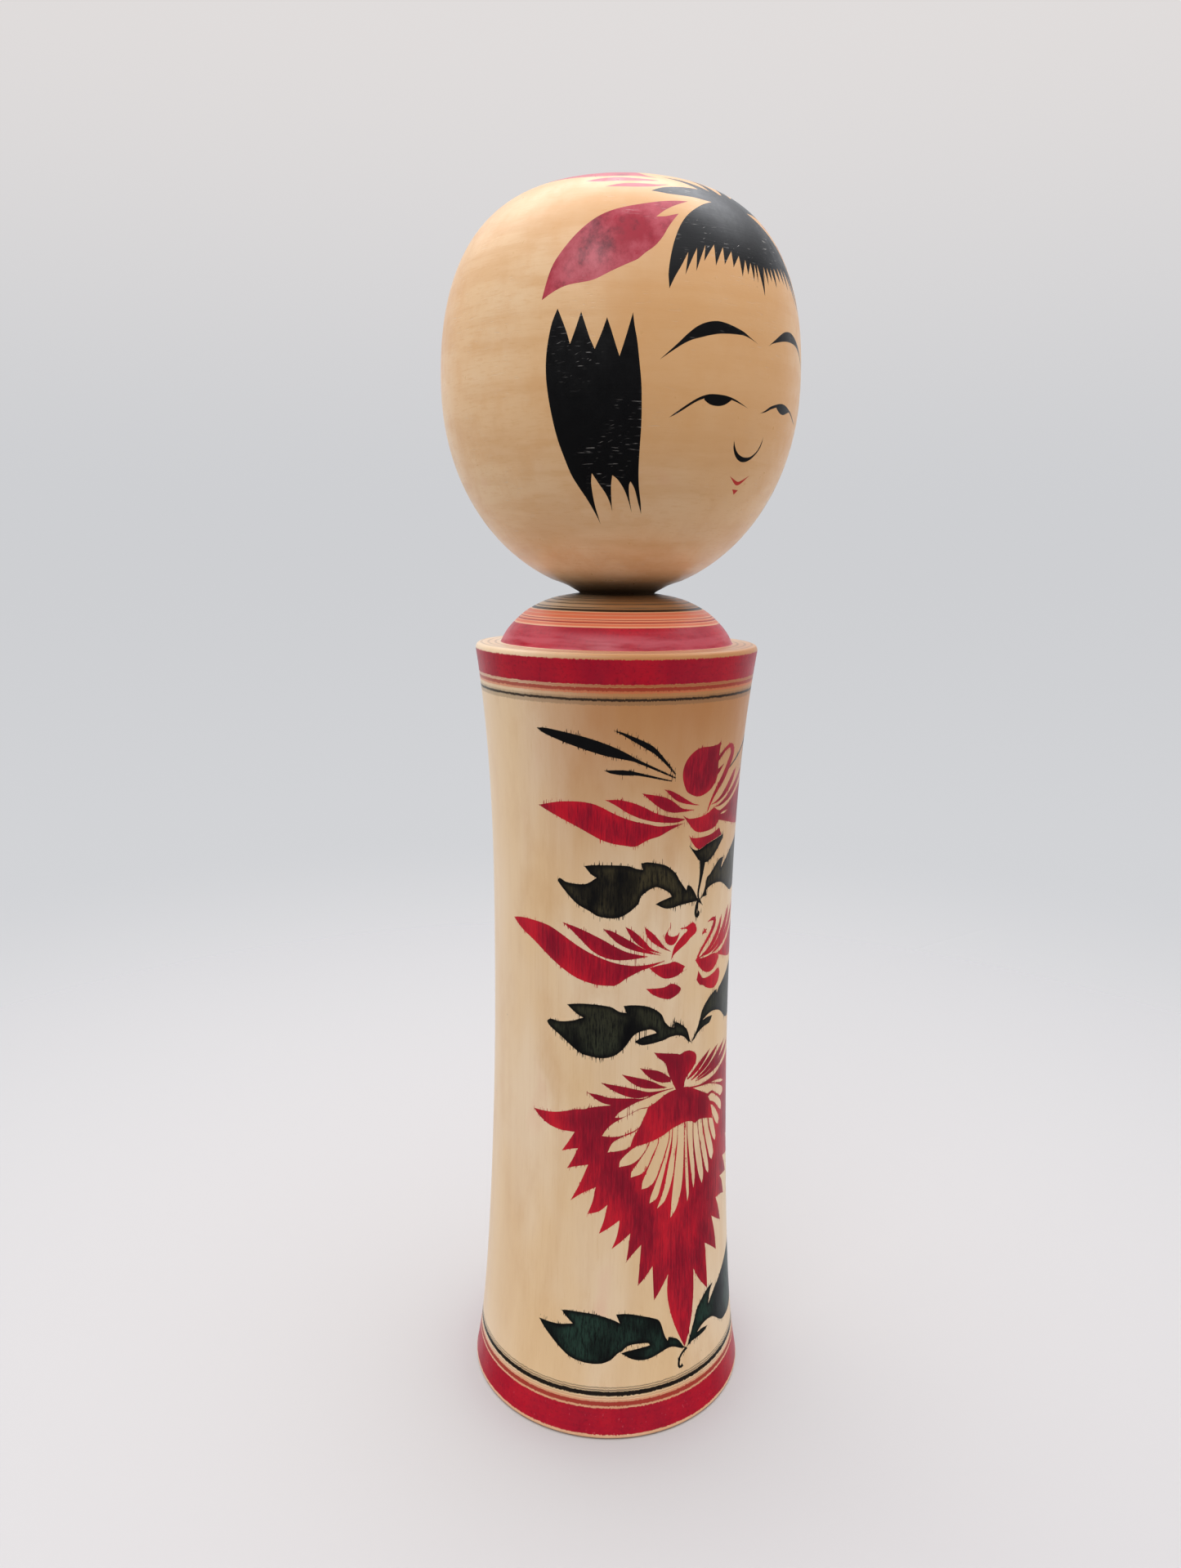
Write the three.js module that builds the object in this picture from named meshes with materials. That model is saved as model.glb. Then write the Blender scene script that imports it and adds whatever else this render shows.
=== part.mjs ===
// A turned wooden kokeshi doll with a head that turns on its neck peg.
// Millimetres, +Z up, origin at the centre of the base, face towards -Y.
import * as THREE from 'three';

// Driving dimensions
const HEIGHT = 303;            // one shaku, floor to crown
const BASE_RADIUS = 36.7;
const WAIST_RADIUS = 30.85;
const WAIST_Z = 113;
const FOOT_FLARE = 1.35;       // the part of the base's width that flares in its last few millimetres
const RIM_RADIUS = 35.1;       // top of the body's side
const RIM_Z = 198;
const LEDGE_Z = 199.2;         // flat step between the rim and the dome
const DOME_RADIUS = 28.9;      // dome shoulder where it meets the step
const DOME_TOP_Z = 211.2;
const HEAD_RADIUS = 42.6;
const HEAD_WIDEST_Z = 260;
const UNDERSIDE_DEPTH = 49;    // from the widest level to where the underside would close
const NECK_FLARE_RADIUS = 16;  // where the underside starts to curve into the neck
const NECK_RADIUS = 9.1;       // straight part of the peg
const BEAD_RADIUS = 9.9;       // swelling that keeps the peg in its socket
const BEAD_Z = 202.5;
const PEG_END_Z = 197.5;
const MOUTH_GAP = 0.4;         // running clearance of the peg in the mouth
const SOCKET_GAP = 0.5;        // the same around the bead
const FLOOR_GAP = 1;           // below the end of the peg

const TURN_SEGMENTS = 48;
const EDGE_ROUND = 0.6;

// Points along a smooth curve through [radius, z] pairs, ends included.
function smooth(pairs, steps) {
  const points = pairs.map(([radius, z]) => new THREE.Vector2(radius, z));
  return new THREE.SplineCurve(points).getPoints(steps);
}

function corner(radius, z) {
  return new THREE.Vector2(radius, z);
}

// A solid of revolution about +Z from an outline that starts and ends on the axis.
function turned(outline) {
  const geometry = new THREE.LatheGeometry(outline, TURN_SEGMENTS);
  geometry.rotateX(Math.PI / 2);
  return geometry;
}

// Radius of the body's side: a long flare and a short foot flare below the waist, a cubic one above it.
function sideRadius(z) {
  if (z < WAIST_Z) {
    const down = (WAIST_Z - z) / (WAIST_Z - EDGE_ROUND);
    const longFlare = BASE_RADIUS - WAIST_RADIUS - FOOT_FLARE;
    return WAIST_RADIUS + longFlare * down ** 1.9 + FOOT_FLARE * down ** 10;
  }
  return WAIST_RADIUS + (RIM_RADIUS - WAIST_RADIUS) * ((z - WAIST_Z) / (RIM_Z - WAIST_Z)) ** 3;
}

// Points up the body's side, closer together towards the foot and the rim.
function side(steps) {
  const points = [];
  for (let i = 0; i <= steps; i += 1) {
    const z = EDGE_ROUND + (WAIST_Z - EDGE_ROUND) * (i / steps) ** 1.5;
    points.push(corner(sideRadius(z), z));
  }
  for (let i = steps - 1; i >= 0; i -= 1) {
    const z = RIM_Z - (RIM_Z - WAIST_Z) * (i / steps) ** 1.3;
    points.push(corner(sideRadius(z), z));
  }
  return points;
}

// Base, flared and waisted side, and the rounded rim.
function bodySide() {
  return [
    corner(0, 0),
    corner(BASE_RADIUS - EDGE_ROUND, 0),
    ...side(11),
    corner(RIM_RADIUS - 0.3, LEDGE_Z - 0.4),
    corner(RIM_RADIUS - 1, LEDGE_Z),
  ];
}

// Domed shoulder, from the step up to the mouth of the socket.
function dome() {
  const lip = NECK_RADIUS + MOUTH_GAP;
  return smooth([
    [DOME_RADIUS, LEDGE_Z],
    [DOME_RADIUS - 2, LEDGE_Z + 3.4],
    [DOME_RADIUS - 6.4, DOME_TOP_Z - 4.4],
    [DOME_RADIUS - 12.4, DOME_TOP_Z - 1.4],
    [lip + 0.3, DOME_TOP_Z],
  ], 12);
}

// Blind socket, undercut so that the bead on the peg snaps past its mouth.
function socket() {
  const mouth = NECK_RADIUS + MOUTH_GAP;
  const undercut = BEAD_RADIUS + SOCKET_GAP;
  const floor = PEG_END_Z - FLOOR_GAP;
  return [
    corner(mouth, DOME_TOP_Z - 0.6),
    corner(mouth, BEAD_Z + 4),
    corner(undercut, BEAD_Z),
    corner(undercut - 0.4, floor + 2.2),
    corner(undercut - 1.6, floor),
    corner(0, floor),
  ];
}

// Neck peg with its bead, below the head.
function peg() {
  return [
    corner(0, PEG_END_Z),
    corner(BEAD_RADIUS - 1.9, PEG_END_Z),
    corner(BEAD_RADIUS - 0.3, PEG_END_Z + 1.8),
    corner(BEAD_RADIUS, BEAD_Z),
    corner(NECK_RADIUS, BEAD_Z + 4),
    corner(NECK_RADIUS, DOME_TOP_Z - 1.4),
  ];
}

// A point of the head on a superellipse quarter, by its angle from the widest level to the pole.
function bulge(angle, depth, rise, run) {
  const radius = HEAD_RADIUS * Math.cos(angle) ** (2 / run);
  return corner(radius, HEAD_WIDEST_Z + depth * Math.sin(angle) ** (2 / rise));
}

// Head: a nearly elliptical underside that curves into the neck, and a fuller, flattened crown.
function skull() {
  const last = Math.acos(NECK_FLARE_RADIUS / HEAD_RADIUS);
  const underside = [];
  const crown = [];
  for (let i = 12; i > 0; i -= 1) {
    underside.push(bulge(last * i / 12, -UNDERSIDE_DEPTH, 2.08, 2));
  }
  for (let i = 0; i < 16; i += 1) {
    crown.push(bulge(Math.PI / 2 * i / 16, HEIGHT - HEAD_WIDEST_Z, 2.3, 3.2));
  }
  const neck = smooth([
    [NECK_RADIUS + 0.2, DOME_TOP_Z + 0.2],
    [(NECK_RADIUS + NECK_FLARE_RADIUS) / 2, DOME_TOP_Z + 2],
    [underside[0].x, underside[0].y],
  ], 4);
  return [...neck.slice(0, -1), ...underside, ...crown, corner(0, HEIGHT)];
}

function bodyMesh() {
  const wood = new THREE.MeshStandardMaterial({ color: 0xd9b184, roughness: 0.45, metalness: 0 });
  const mesh = new THREE.Mesh(turned([...bodySide(), ...dome(), ...socket()]), wood);
  mesh.name = 'body';
  return mesh;
}

function headMesh() {
  const wood = new THREE.MeshStandardMaterial({ color: 0xd8a873, roughness: 0.35, metalness: 0 });
  const mesh = new THREE.Mesh(turned([...peg(), ...skull()]), wood);
  mesh.name = 'head';
  return mesh;
}

const doll = new THREE.Group();
doll.add(bodyMesh(), headMesh());

export default doll;
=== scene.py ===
"""Looks of a turned wooden kokeshi doll: two turned pieces whose painting is cut into their meshes.

Lengths are millimetres until a mesh is written. A point of the body's painting is (u, z): u runs round
the body from its front, to the viewer's right, along a cylinder of radius CHART_RADIUS.
"""

import math

import bpy
import numpy as np
from mathutils import Matrix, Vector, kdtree
from mathutils.geometry import delaunay_2d_cdt


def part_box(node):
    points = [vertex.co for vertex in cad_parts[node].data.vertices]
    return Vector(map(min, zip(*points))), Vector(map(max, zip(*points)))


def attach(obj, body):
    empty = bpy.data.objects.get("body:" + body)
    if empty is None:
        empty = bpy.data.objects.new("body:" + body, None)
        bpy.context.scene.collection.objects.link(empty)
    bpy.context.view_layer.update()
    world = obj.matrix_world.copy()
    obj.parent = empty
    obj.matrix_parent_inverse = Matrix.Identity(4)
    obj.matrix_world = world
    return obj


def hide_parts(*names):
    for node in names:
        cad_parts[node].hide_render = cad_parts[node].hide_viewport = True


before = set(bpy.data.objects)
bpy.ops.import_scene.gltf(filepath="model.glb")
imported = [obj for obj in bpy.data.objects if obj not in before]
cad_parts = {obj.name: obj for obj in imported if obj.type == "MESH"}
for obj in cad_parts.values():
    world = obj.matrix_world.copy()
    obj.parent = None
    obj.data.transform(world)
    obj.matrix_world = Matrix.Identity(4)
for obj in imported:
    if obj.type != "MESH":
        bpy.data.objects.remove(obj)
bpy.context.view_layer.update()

MM = 0.001
COLUMNS = 192                 # vertices round a turned piece
GRID = 1.25                   # spacing of the points inside the painted surfaces
EDGE_STEP = 0.75              # spacing of the points along a painted edge
FILLET = 0.35                 # how far a turned corner is cut back before it is rounded
BODY_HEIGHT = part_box("body")[1].z / MM
HEAD_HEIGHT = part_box("head")[1].z / MM

CHART_RADIUS = 32.0           # of the body's painting
FACE_RADIUS = 42.0            # of the face's painting
FACE_TURN = math.radians(6.2)  # the head looks a little to the doll's left
C = "corner"                  # marks a sharp point of an outline

DOME_RISE = 12.0              # from the flat step round the shoulder to the top of the dome
FOOT_TOP_Z = 1.6              # the body's painted surface starts here, above its rounded lower edge
NECK_TOP_Z = 216.0            # the head's painted surface starts here
CAP_REACH = 44.0              # over the surface, from the crown to where the texture layout changes


# ---------------------------------------------------------------------------------------------
# Turned outlines, read from the CAD nodes
# ---------------------------------------------------------------------------------------------

def cad_outline(node):
    """The (radius, height) outline a turned node was made from, from its low point on the axis round."""
    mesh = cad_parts[node].data
    places = {}
    for vertex in mesh.vertices:
        x, y, z = vertex.co / MM
        radius = math.hypot(x, y)
        if radius < 0.01 or (abs(x) < 0.01 and y < 0):
            places[vertex.index] = (round(radius, 2), round(z, 2))
    neighbours = {}
    for edge in mesh.edges:
        a, b = (places.get(i) for i in edge.vertices)
        if a and b and a != b:
            neighbours.setdefault(a, set()).add(b)
            neighbours.setdefault(b, set()).add(a)
    ends = sorted((p for p in neighbours if len(neighbours[p]) == 1), key=lambda p: p[1])
    outline = [ends[0]]
    while len(outline) < len(neighbours):
        outline.append(next(p for p in neighbours[outline[-1]] if p not in outline))
    return np.array(outline)


def spline(points, step):
    """A smooth curve through the points, with about one new point per step."""
    points = np.asarray(points, float)
    if len(points) < 3:
        count = max(1, math.ceil(np.linalg.norm(points[-1][:2] - points[0][:2]) / step))
        share = np.linspace(0, 1, count + 1)[:, None]
        return points[0] * (1 - share) + points[-1] * share
    padded = np.vstack([2 * points[0] - points[1], points, 2 * points[-1] - points[-2]])
    pieces = []
    for before, start, end, after in zip(padded, padded[1:], padded[2:], padded[3:]):
        length = np.linalg.norm((end - start)[:2])
        t = np.linspace(0, 1, max(2, math.ceil(length / step)) + 1)[:-1, None]
        # tangents scaled to the chord keep the curve from swinging wide between uneven points
        into = (end - before) * length / (np.linalg.norm((end - before)[:2]) + 1e-9)
        out = (after - start) * length / (np.linalg.norm((after - start)[:2]) + 1e-9)
        pieces.append(
            (2 * t**3 - 3 * t**2 + 1) * start + (t**3 - 2 * t**2 + t) * into
            + (3 * t**2 - 2 * t**3) * end + (t**3 - t**2) * out
        )
    return np.vstack(pieces + [points[-1:]])


def softened(outline, step=1.0, corner=math.radians(20)):
    """The outline with its gentle runs smoothed and its corners rounded."""
    steps = np.diff(outline, axis=0)
    heading = np.unwrap(np.arctan2(steps[:, 1], steps[:, 0]))
    corners = [0] + [i + 1 for i, turn in enumerate(np.diff(heading)) if abs(turn) > corner]
    corners.append(len(outline) - 1)
    result = [outline[:1]]
    t = np.linspace(0, 1, 6)[:, None]
    last = len(corners) - 2
    arc_start = None
    for number, (a, b) in enumerate(zip(corners, corners[1:])):
        run = spline(outline[a:b + 1], step)
        cut = min(FILLET, 0.4 * np.linalg.norm(run[-1] - run[0]))
        into = (run[1] - run[0]) / np.linalg.norm(run[1] - run[0])
        out = (run[-1] - run[-2]) / np.linalg.norm(run[-1] - run[-2])
        if arc_start is not None:
            arc_end = run[0] + into * cut
            result.append((1 - t) ** 2 * arc_start + 2 * t * (1 - t) * run[0] + t**2 * arc_end)
        clear_start = np.linalg.norm(run - run[0], axis=1) > cut * 1.2
        clear_end = np.linalg.norm(run - run[-1], axis=1) > cut * 1.2
        result.append(run[clear_start & clear_end])
        arc_start = run[-1] - out * cut
        if number == last:
            result.append(run[-1:])
    return np.vstack(result)


class Profile:
    """A turned outline with its arc length and normals."""

    def __init__(self, node):
        self.points = softened(cad_outline(node))
        steps = np.diff(self.points, axis=0)
        lengths = np.linalg.norm(steps, axis=1)
        self.length = np.concatenate([[0], np.cumsum(lengths)])
        tangent = steps / lengths[:, None]
        tangent = np.vstack([tangent[:1], tangent[:-1] + tangent[1:], tangent[-1:]])
        tangent /= np.linalg.norm(tangent, axis=1)[:, None]
        self.normal = np.stack([tangent[:, 1], -tangent[:, 0]], 1)

    def at(self, length):
        """(radius, height, normal radius, normal height) at these arc lengths."""
        columns = np.hstack([self.points, self.normal]).T
        return [np.interp(length, self.length, column) for column in columns]

    def where(self, low, high, height):
        """Arc length at which the outline reaches a height, between two lengths where it rises."""
        inside = (self.length >= low) & (self.length <= high)
        return np.interp(height, self.points[inside, 1], self.length[inside])


# ---------------------------------------------------------------------------------------------
# Brush strokes
# ---------------------------------------------------------------------------------------------

def outline(*points):
    """A closed outline: smooth through plain points, sharp at points marked C (one or more)."""
    flat = [p[:2] for p in points]
    corners = [i for i, p in enumerate(points) if len(p) > 2]
    turned = flat[corners[0]:] + flat[:corners[0]] + [flat[corners[0]]]
    marks = [i - corners[0] for i in corners] + [len(flat)]
    return np.vstack([spline(turned[a:b + 1], EDGE_STEP)[:-1] for a, b in zip(marks, marks[1:])])


def brush(*points):
    """A stroke along (u, z, width) points."""
    path = spline(points, EDGE_STEP)
    along = np.gradient(path[:, :2], axis=0)
    along /= np.linalg.norm(along, axis=1)[:, None] + 1e-9
    side = np.stack([-along[:, 1], along[:, 0]], 1) * np.maximum(path[:, 2:], 0) / 2
    return np.vstack([path[:, :2] + side, (path[:, :2] - side)[::-1]])


def flipped(stroke, centre=0.0):
    """The stroke mirrored left to right about u = centre."""
    return np.stack([2 * centre - stroke[:, 0], stroke[:, 1]], 1)


def petals(*strokes):
    """Several strokes and, where a centre follows, their mirror images too."""
    result = []
    for stroke, *centres in strokes:
        result.append(stroke)
        result += [flipped(stroke, centre) for centre in centres]
    return result


def top_flower():
    """Side view of a chrysanthemum bud over spread petals, below blades of grass."""
    grass = petals(
        (brush((-39.7, 181.5, 0), (-38, 181.1, 1.2), (-34, 180.2, 2.2), (-28, 178.7, 2.9),
               (-23, 177.2, 2.7), (-19, 175.9, 1.7), (-16.5, 174.9, 0.9), (-6.6, 170.3, 0.35)), 2.2),
        (brush((-21.4, 181.8, 0), (-19.5, 181.1, 0.6), (-13.5, 177.9, 1.4), (-11.4, 176.3, 1.0),
               (-6.7, 171.2, 0.35)), 7.4),
        (brush((-23.6, 172.5, 0), (-22, 172.2, 0.8), (-19, 172, 1.25), (-16, 171.7, 0.8),
               (-7.8, 169.7, 0.3)), 6.6),
    )
    bud = [
        outline((6.6, 178.1, C), (6.8, 177.2), (6.5, 176), (6.6, 174), (6.5, 172), (6.7, 170),
                (5.5, 167.5), (4, 166.2), (2, 165.4), (0, 165.2), (-2, 165.9), (-3.5, 167), (-4.8, 171),
                (-3.8, 174.5), (-0.8, 176.8), (4, 177), (6.2, 177.4)),
        brush((6.2, 173.4, 1), (8.3, 175.1, 0.9), (10, 176, 1), (11.4, 176.2, 1.2), (12.5, 175.4, 1.9)),
        brush((11.8, 176, 1.1), (12.8, 174.9, 2), (12.5, 173.4, 2.1), (9.3, 168.8, 1.8),
              (7.3, 166.7, 1.4), (5.6, 164.6, 0.9), (4.4, 162.7, 0.6), (3.8, 161.2, 0.2)),
        brush((6, 170, 1.3), (7.3, 170.9, 1), (8.9, 172, 0.1)),
    ]
    spread = [
        brush((-9.4, 167.8, 0), (-7.6, 166.8, 1), (-5.4, 165.3, 1.5), (-1.2, 163.5, 0.4),
              (0.7, 163.1, 0.1)),
        brush((-14.8, 167.1, 0), (-10, 164.8, 2.7), (-7.2, 163.4, 2.6), (-4.5, 162.4, 1),
              (-0.8, 162.1, 0.1)),
        brush((-23.3, 165.5, 0), (-20.5, 164.9, 1.5), (-17.5, 163.7, 2.7), (-14.5, 162.4, 2.8),
              (-11.5, 161.2, 2.1), (-8, 160.4, 1.5), (-5.5, 160.1, 1.1), (-3.5, 160.1, 0.3)),
        outline((-40.2, 163, C), (-33.5, 164.6), (-26.5, 164.6), (-20, 161.8), (-16.5, 160.5),
                (-13.5, 159.8), (-10, 159), (-3.5, 159.2, C), (-7.5, 157.8), (-10, 156.6), (-13, 155.8),
                (-15.5, 154.5), (-16.8, 154.3, C), (-23, 155.5), (-30, 158.8)),
        brush((16.6, 170.2, 0), (15.2, 168.8, 1.5), (13.2, 166.8, 1.9), (11, 165, 1.6), (9, 163.8, 1),
              (7, 163, 0.6), (5, 162.6, 0.1)),
        brush((23.5, 169.8, 0), (20.5, 167.8, 1.7), (14.5, 164.3, 1.8), (11.5, 162.9, 1.2),
              (8.5, 162, 0.6), (6, 161.8, 0.1)),
        outline((45, 163.4, C), (36, 165.8), (26, 166.4), (22, 165.6), (13, 161.7), (8.3, 160.4, C),
                (8, 158.4, C), (20, 155.2), (24, 154.6), (28, 155.2), (32, 157), (40, 161.4)),
    ]
    slit = outline(
        (9.3, 159.6, C), (10.5, 160), (12.9, 160, C), (11, 159.5))
    cups = [
        outline((-4.1, 161.1, C), (-2, 160.1), (3, 160.4), (6.2, 161.8, C), (8, 160.8), (10, 160.5, C),
                (9.8, 159.2), (8.5, 158), (7.5, 157), (5.5, 156.4), (3, 156.2), (0.5, 156.5),
                (-1, 157.5)),
        outline((-1.9, 155.9, C), (-0.8, 155.2), (5, 155.1), (9.2, 156.2, C), (10.5, 154.2, C),
                (5, 153.1), (1.5, 152.1), (-0.8, 154)),
    ]
    stalk = [
        outline((-1.8, 153.5, C), (0, 152.2), (1.5, 152), (5, 153.1), (11.5, 154.2, C), (11.4, 153.2),
                (5.5, 148.6), (2.2, 149), (0.2, 151)),
        brush((3.2, 149.5, 2.2), (2.7, 145, 1.1), (2, 141, 0.5), (2.2, 139.4, 0.7)),
        brush((2.1, 139.4, 0.9), (1.5, 137.4, 0.9), (1.4, 135.9, 0.9), (2, 135.3, 0.9), (2.4, 136, 0.8),
              (2.2, 136.6, 0.3)),
        brush((1.5, 135.5, 0.5), (1.7, 134, 0)),
        brush((2.2, 139.4, 1), (3.9, 137.6, 0)),
    ]
    return [("dark", grass), ("red", bud + spread + cups), ("bare", [slit]), ("dark", stalk)]


def top_leaves():
    """The two leaves below the top flower."""
    leaf = outline(
        (-35.1, 145.2, C), (-34.5, 145.9), (-33, 145.2), (-30, 144.9), (-27.5, 145.2),
        (-25.2, 146.7, C), (-26.5, 147.5), (-28.2, 149.4, C), (-26, 149.8), (-18, 149.8), (-15.5, 149),
        (-14, 148.7, C), (-14.5, 150.2, C), (-13, 150.5), (-8.5, 149.5), (-6.5, 148.2), (-5, 146.7),
        (-4.3, 145.5), (-2, 142.5, C), (-1.7, 143.7, C), (-0.5, 143.2), (2.2, 139.2, C), (-3.5, 139),
        (-6, 138.6), (-8, 138.7), (-10.6, 140, C), (-9, 140.7), (-6.2, 141.5, C), (-7, 142.5),
        (-10, 144.1), (-11.5, 144), (-14.2, 142.2), (-15, 140.2), (-19.5, 137.1), (-24.5, 137.2),
        (-27, 138.5), (-30, 140), (-33.7, 143.5))
    other = outline(
        (2.5, 139.2, C), (3.8, 139.8), (5.2, 140), (5, 141.2), (7, 142.1), (10, 142.2), (12.5, 141.5),
        (18.5, 138.2), (21, 138), (25, 138.4), (29, 140), (32.5, 142.2), (38.4, 147.6, C), (34, 147.2),
        (30.2, 148.2, C), (31.6, 150.2), (31.8, 151.4, C), (27, 152), (20, 150.5), (16.5, 149),
        (11.3, 145.6, C), (12.5, 148.2, C), (10, 148), (6, 145), (5, 144.5), (4.5, 142.5), (3.8, 140.8))
    return [("dark", [leaf, other])]


def middle_flower():
    """Two curled halves of a flower that open away from each other."""
    wide = outline(
        (-50, 133.1, C), (-47, 133.8), (-44, 134.1), (-38.5, 133.8), (-35.5, 132.8), (-27.5, 128.5),
        (-21, 126), (-15, 125), (-7.5, 125.6, C), (-11.8, 124.2), (-13.5, 123.8), (-17.5, 121.9),
        (-19, 120.8), (-20.5, 120, C), (-25, 120.2), (-30, 121.5), (-35, 124.2), (-42, 128.8),
        (-47, 131.2))
    halves = [
        wide,
        brush((-33.8, 135, 0), (-31, 133.8, 1.3), (-28, 132.1, 2.7), (-24.5, 129.9, 3.9),
              (-21, 128.3, 3.4), (-17.5, 127.5, 2), (-12.2, 127.1, 0.1)),
        brush((-23.4, 134.2, 0), (-21.6, 133.2, 1.3), (-19.3, 131.6, 2), (-16.8, 130.2, 1.9),
              (-13.8, 128.8, 1.1), (-8.8, 127.1, 0.1)),
        brush((-18, 134.8, 0), (-16.7, 133.5, 1.2), (-15.2, 131.9, 1.8), (-13.4, 130.2, 1.6),
              (-11.6, 128.8, 0.8), (-8.7, 127.6, 0.1)),
        brush((-13.2, 134.6, 0), (-12.2, 133, 1.3), (-10.8, 131.4, 1.7), (-7.9, 128.8, 0.6),
              (-6, 127.7, 0.1)),
        brush((13.3, 133.4, 0), (12.5, 131.4, 1.2), (11, 129, 1.7), (9.2, 127.3, 1.6), (7.3, 126, 1.1),
              (5, 124.9, 0.7), (3, 124.3, 0.3)),
        brush((18.5, 134.5, 0), (17.3, 132.3, 1.7), (15.3, 129.8, 2.3), (12.8, 127.6, 2.1),
              (10, 125.9, 1.5), (7.2, 124.9, 0.8), (5, 124.5, 0.2)),
        brush((24, 134.8, 0), (21.5, 131.8, 2.2), (18.5, 128.9, 2.6), (14.5, 126.4, 1.9),
              (11, 124.9, 0.9), (8.5, 124.3, 0.3)),
        outline((10.3, 123.6, C), (13, 123.8), (16, 124.9), (22, 128), (30, 131.4), (35, 133),
                (40, 134), (45, 134.2), (50, 133.2, C), (46, 131), (42, 129), (34, 123.8), (30, 121.6),
                (26, 120.2), (22, 119.8, C), (18.5, 120.6)),
    ]
    curls = [
        outline((-6.1, 134.4, C), (-7.8, 131.8), (-7.5, 130.2), (-6, 129.2), (-4.8, 129.6), (-4, 130.8),
                (-3.5, 132.2, C), (-4.8, 131.4), (-6.9, 132.1)),
        outline((-3.6, 133.1, C), (-1.5, 133.3), (0.2, 134), (1, 133.8), (2, 132), (1.5, 131),
                (0, 130.2), (-1.2, 129.2), (-5, 126.8), (-6, 125.4, C), (-5, 128.8), (-2.5, 131.4),
                (-1.2, 132.4), (-2.5, 132.8)),
        brush((6.2, 132.9, 0.2), (7.8, 133.2, 0.7), (9.2, 133, 1.2), (9.3, 131.9, 1.4), (8, 130.1, 1.2),
              (4, 126.3, 0.8), (2.6, 124.6, 0.7)),
        brush((4.1, 130.3, 0.5), (5, 130.7, 0.7), (5.9, 131.2, 0.2)),
        brush((4.7, 131.6, 0.2), (5.1, 130.8, 0.6), (5.8, 130.2, 0.2)),
    ]
    cups = [
        outline((-11.8, 124.2, C), (-9.5, 124.6), (-6.5, 124.8), (-4.8, 125), (-1.5, 123.2, C),
                (-2.2, 122.2), (-0.5, 122.5, C), (-2.5, 121.9), (-4, 121.2), (-6, 120.9), (-8, 121.2),
                (-10.8, 123.2)),
        outline((-12.5, 119, C), (-7.5, 118.9), (-5.5, 119.5), (-2.8, 118), (-3, 117), (-4.5, 116),
                (-6.5, 115.6), (-10.5, 117.2)),
        outline((1.8, 124, C), (2.8, 125, C), (3.5, 124.2), (6, 124), (9, 124.1), (11, 123.5),
                (12, 122.5), (11.2, 121), (9.5, 119.9), (7.5, 119.6), (5.5, 120.2), (3.8, 121.5)),
        outline((2.5, 118.8, C), (3.1, 121, C), (4, 119.8), (4.8, 118.8), (7, 118.5), (10, 118.9),
                (12.2, 119.4), (13.2, 118), (12.5, 116), (10.5, 114.8), (8.5, 115), (6.5, 115.8),
                (5, 116.8), (3.8, 117.2)),
    ]
    return [("red", halves + curls + cups)]


def middle_leaves():
    """The two leaves below the middle flower."""
    leaf = outline(
        (-38.1, 109.1, C), (-37.2, 109.9), (-34.5, 109.8), (-31, 110.5), (-28.2, 111.6, C),
        (-30, 112.5), (-32.4, 114.4, C), (-31, 114.8), (-27.5, 115.2), (-21.5, 114.8), (-19, 113.5),
        (-17.4, 113.2, C), (-18.1, 115, C), (-15.5, 115.1), (-12, 114.5), (-9.5, 113.2), (-8, 111.8),
        (-7.2, 110), (-5.8, 108.5), (-4.5, 108, C), (-4.5, 109.6, C), (-3.2, 109), (-0.5, 106.8),
        (0.8, 103.5), (1.2, 102.8, C), (0, 103.5), (-1.2, 104.8), (-2.5, 105.5), (-5, 105.8),
        (-7.5, 105.2), (-12.8, 104.6), (-14.2, 105), (-15.1, 105.7, C), (-14, 106.4), (-12, 107),
        (-9.5, 107.4, C), (-10, 108), (-11.5, 108.5), (-15, 107.6), (-17.5, 104.5), (-19, 103),
        (-21, 101.9), (-23.5, 101.5), (-26.5, 101.8), (-29, 102.5), (-34, 106), (-37.5, 108.2))
    other = outline(
        (1.5, 103, C), (2.5, 103.5), (3, 104.2), (4.5, 105.2), (6.5, 105.8), (8.5, 106),
        (9.8, 107.5, C), (7.5, 107.8), (5.5, 107.6, C), (7.5, 108.4), (10, 108.6), (12.5, 108),
        (15, 106.8), (17.5, 104.8), (20, 103.5), (24, 103), (28, 104), (32, 106.4), (38.8, 112.9, C),
        (34.6, 113.2), (31.4, 114.4, C), (32.6, 116.2), (34.2, 117.6, C), (28, 118.6), (21.2, 117.2),
        (13, 113.8), (12, 112.8, C), (11.8, 113.9, C), (9.5, 113.5), (7, 112.2), (5, 110.2), (4.2, 108),
        (3, 105.5), (1.8, 103.8))
    return [("dark", [leaf, other])]


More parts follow.
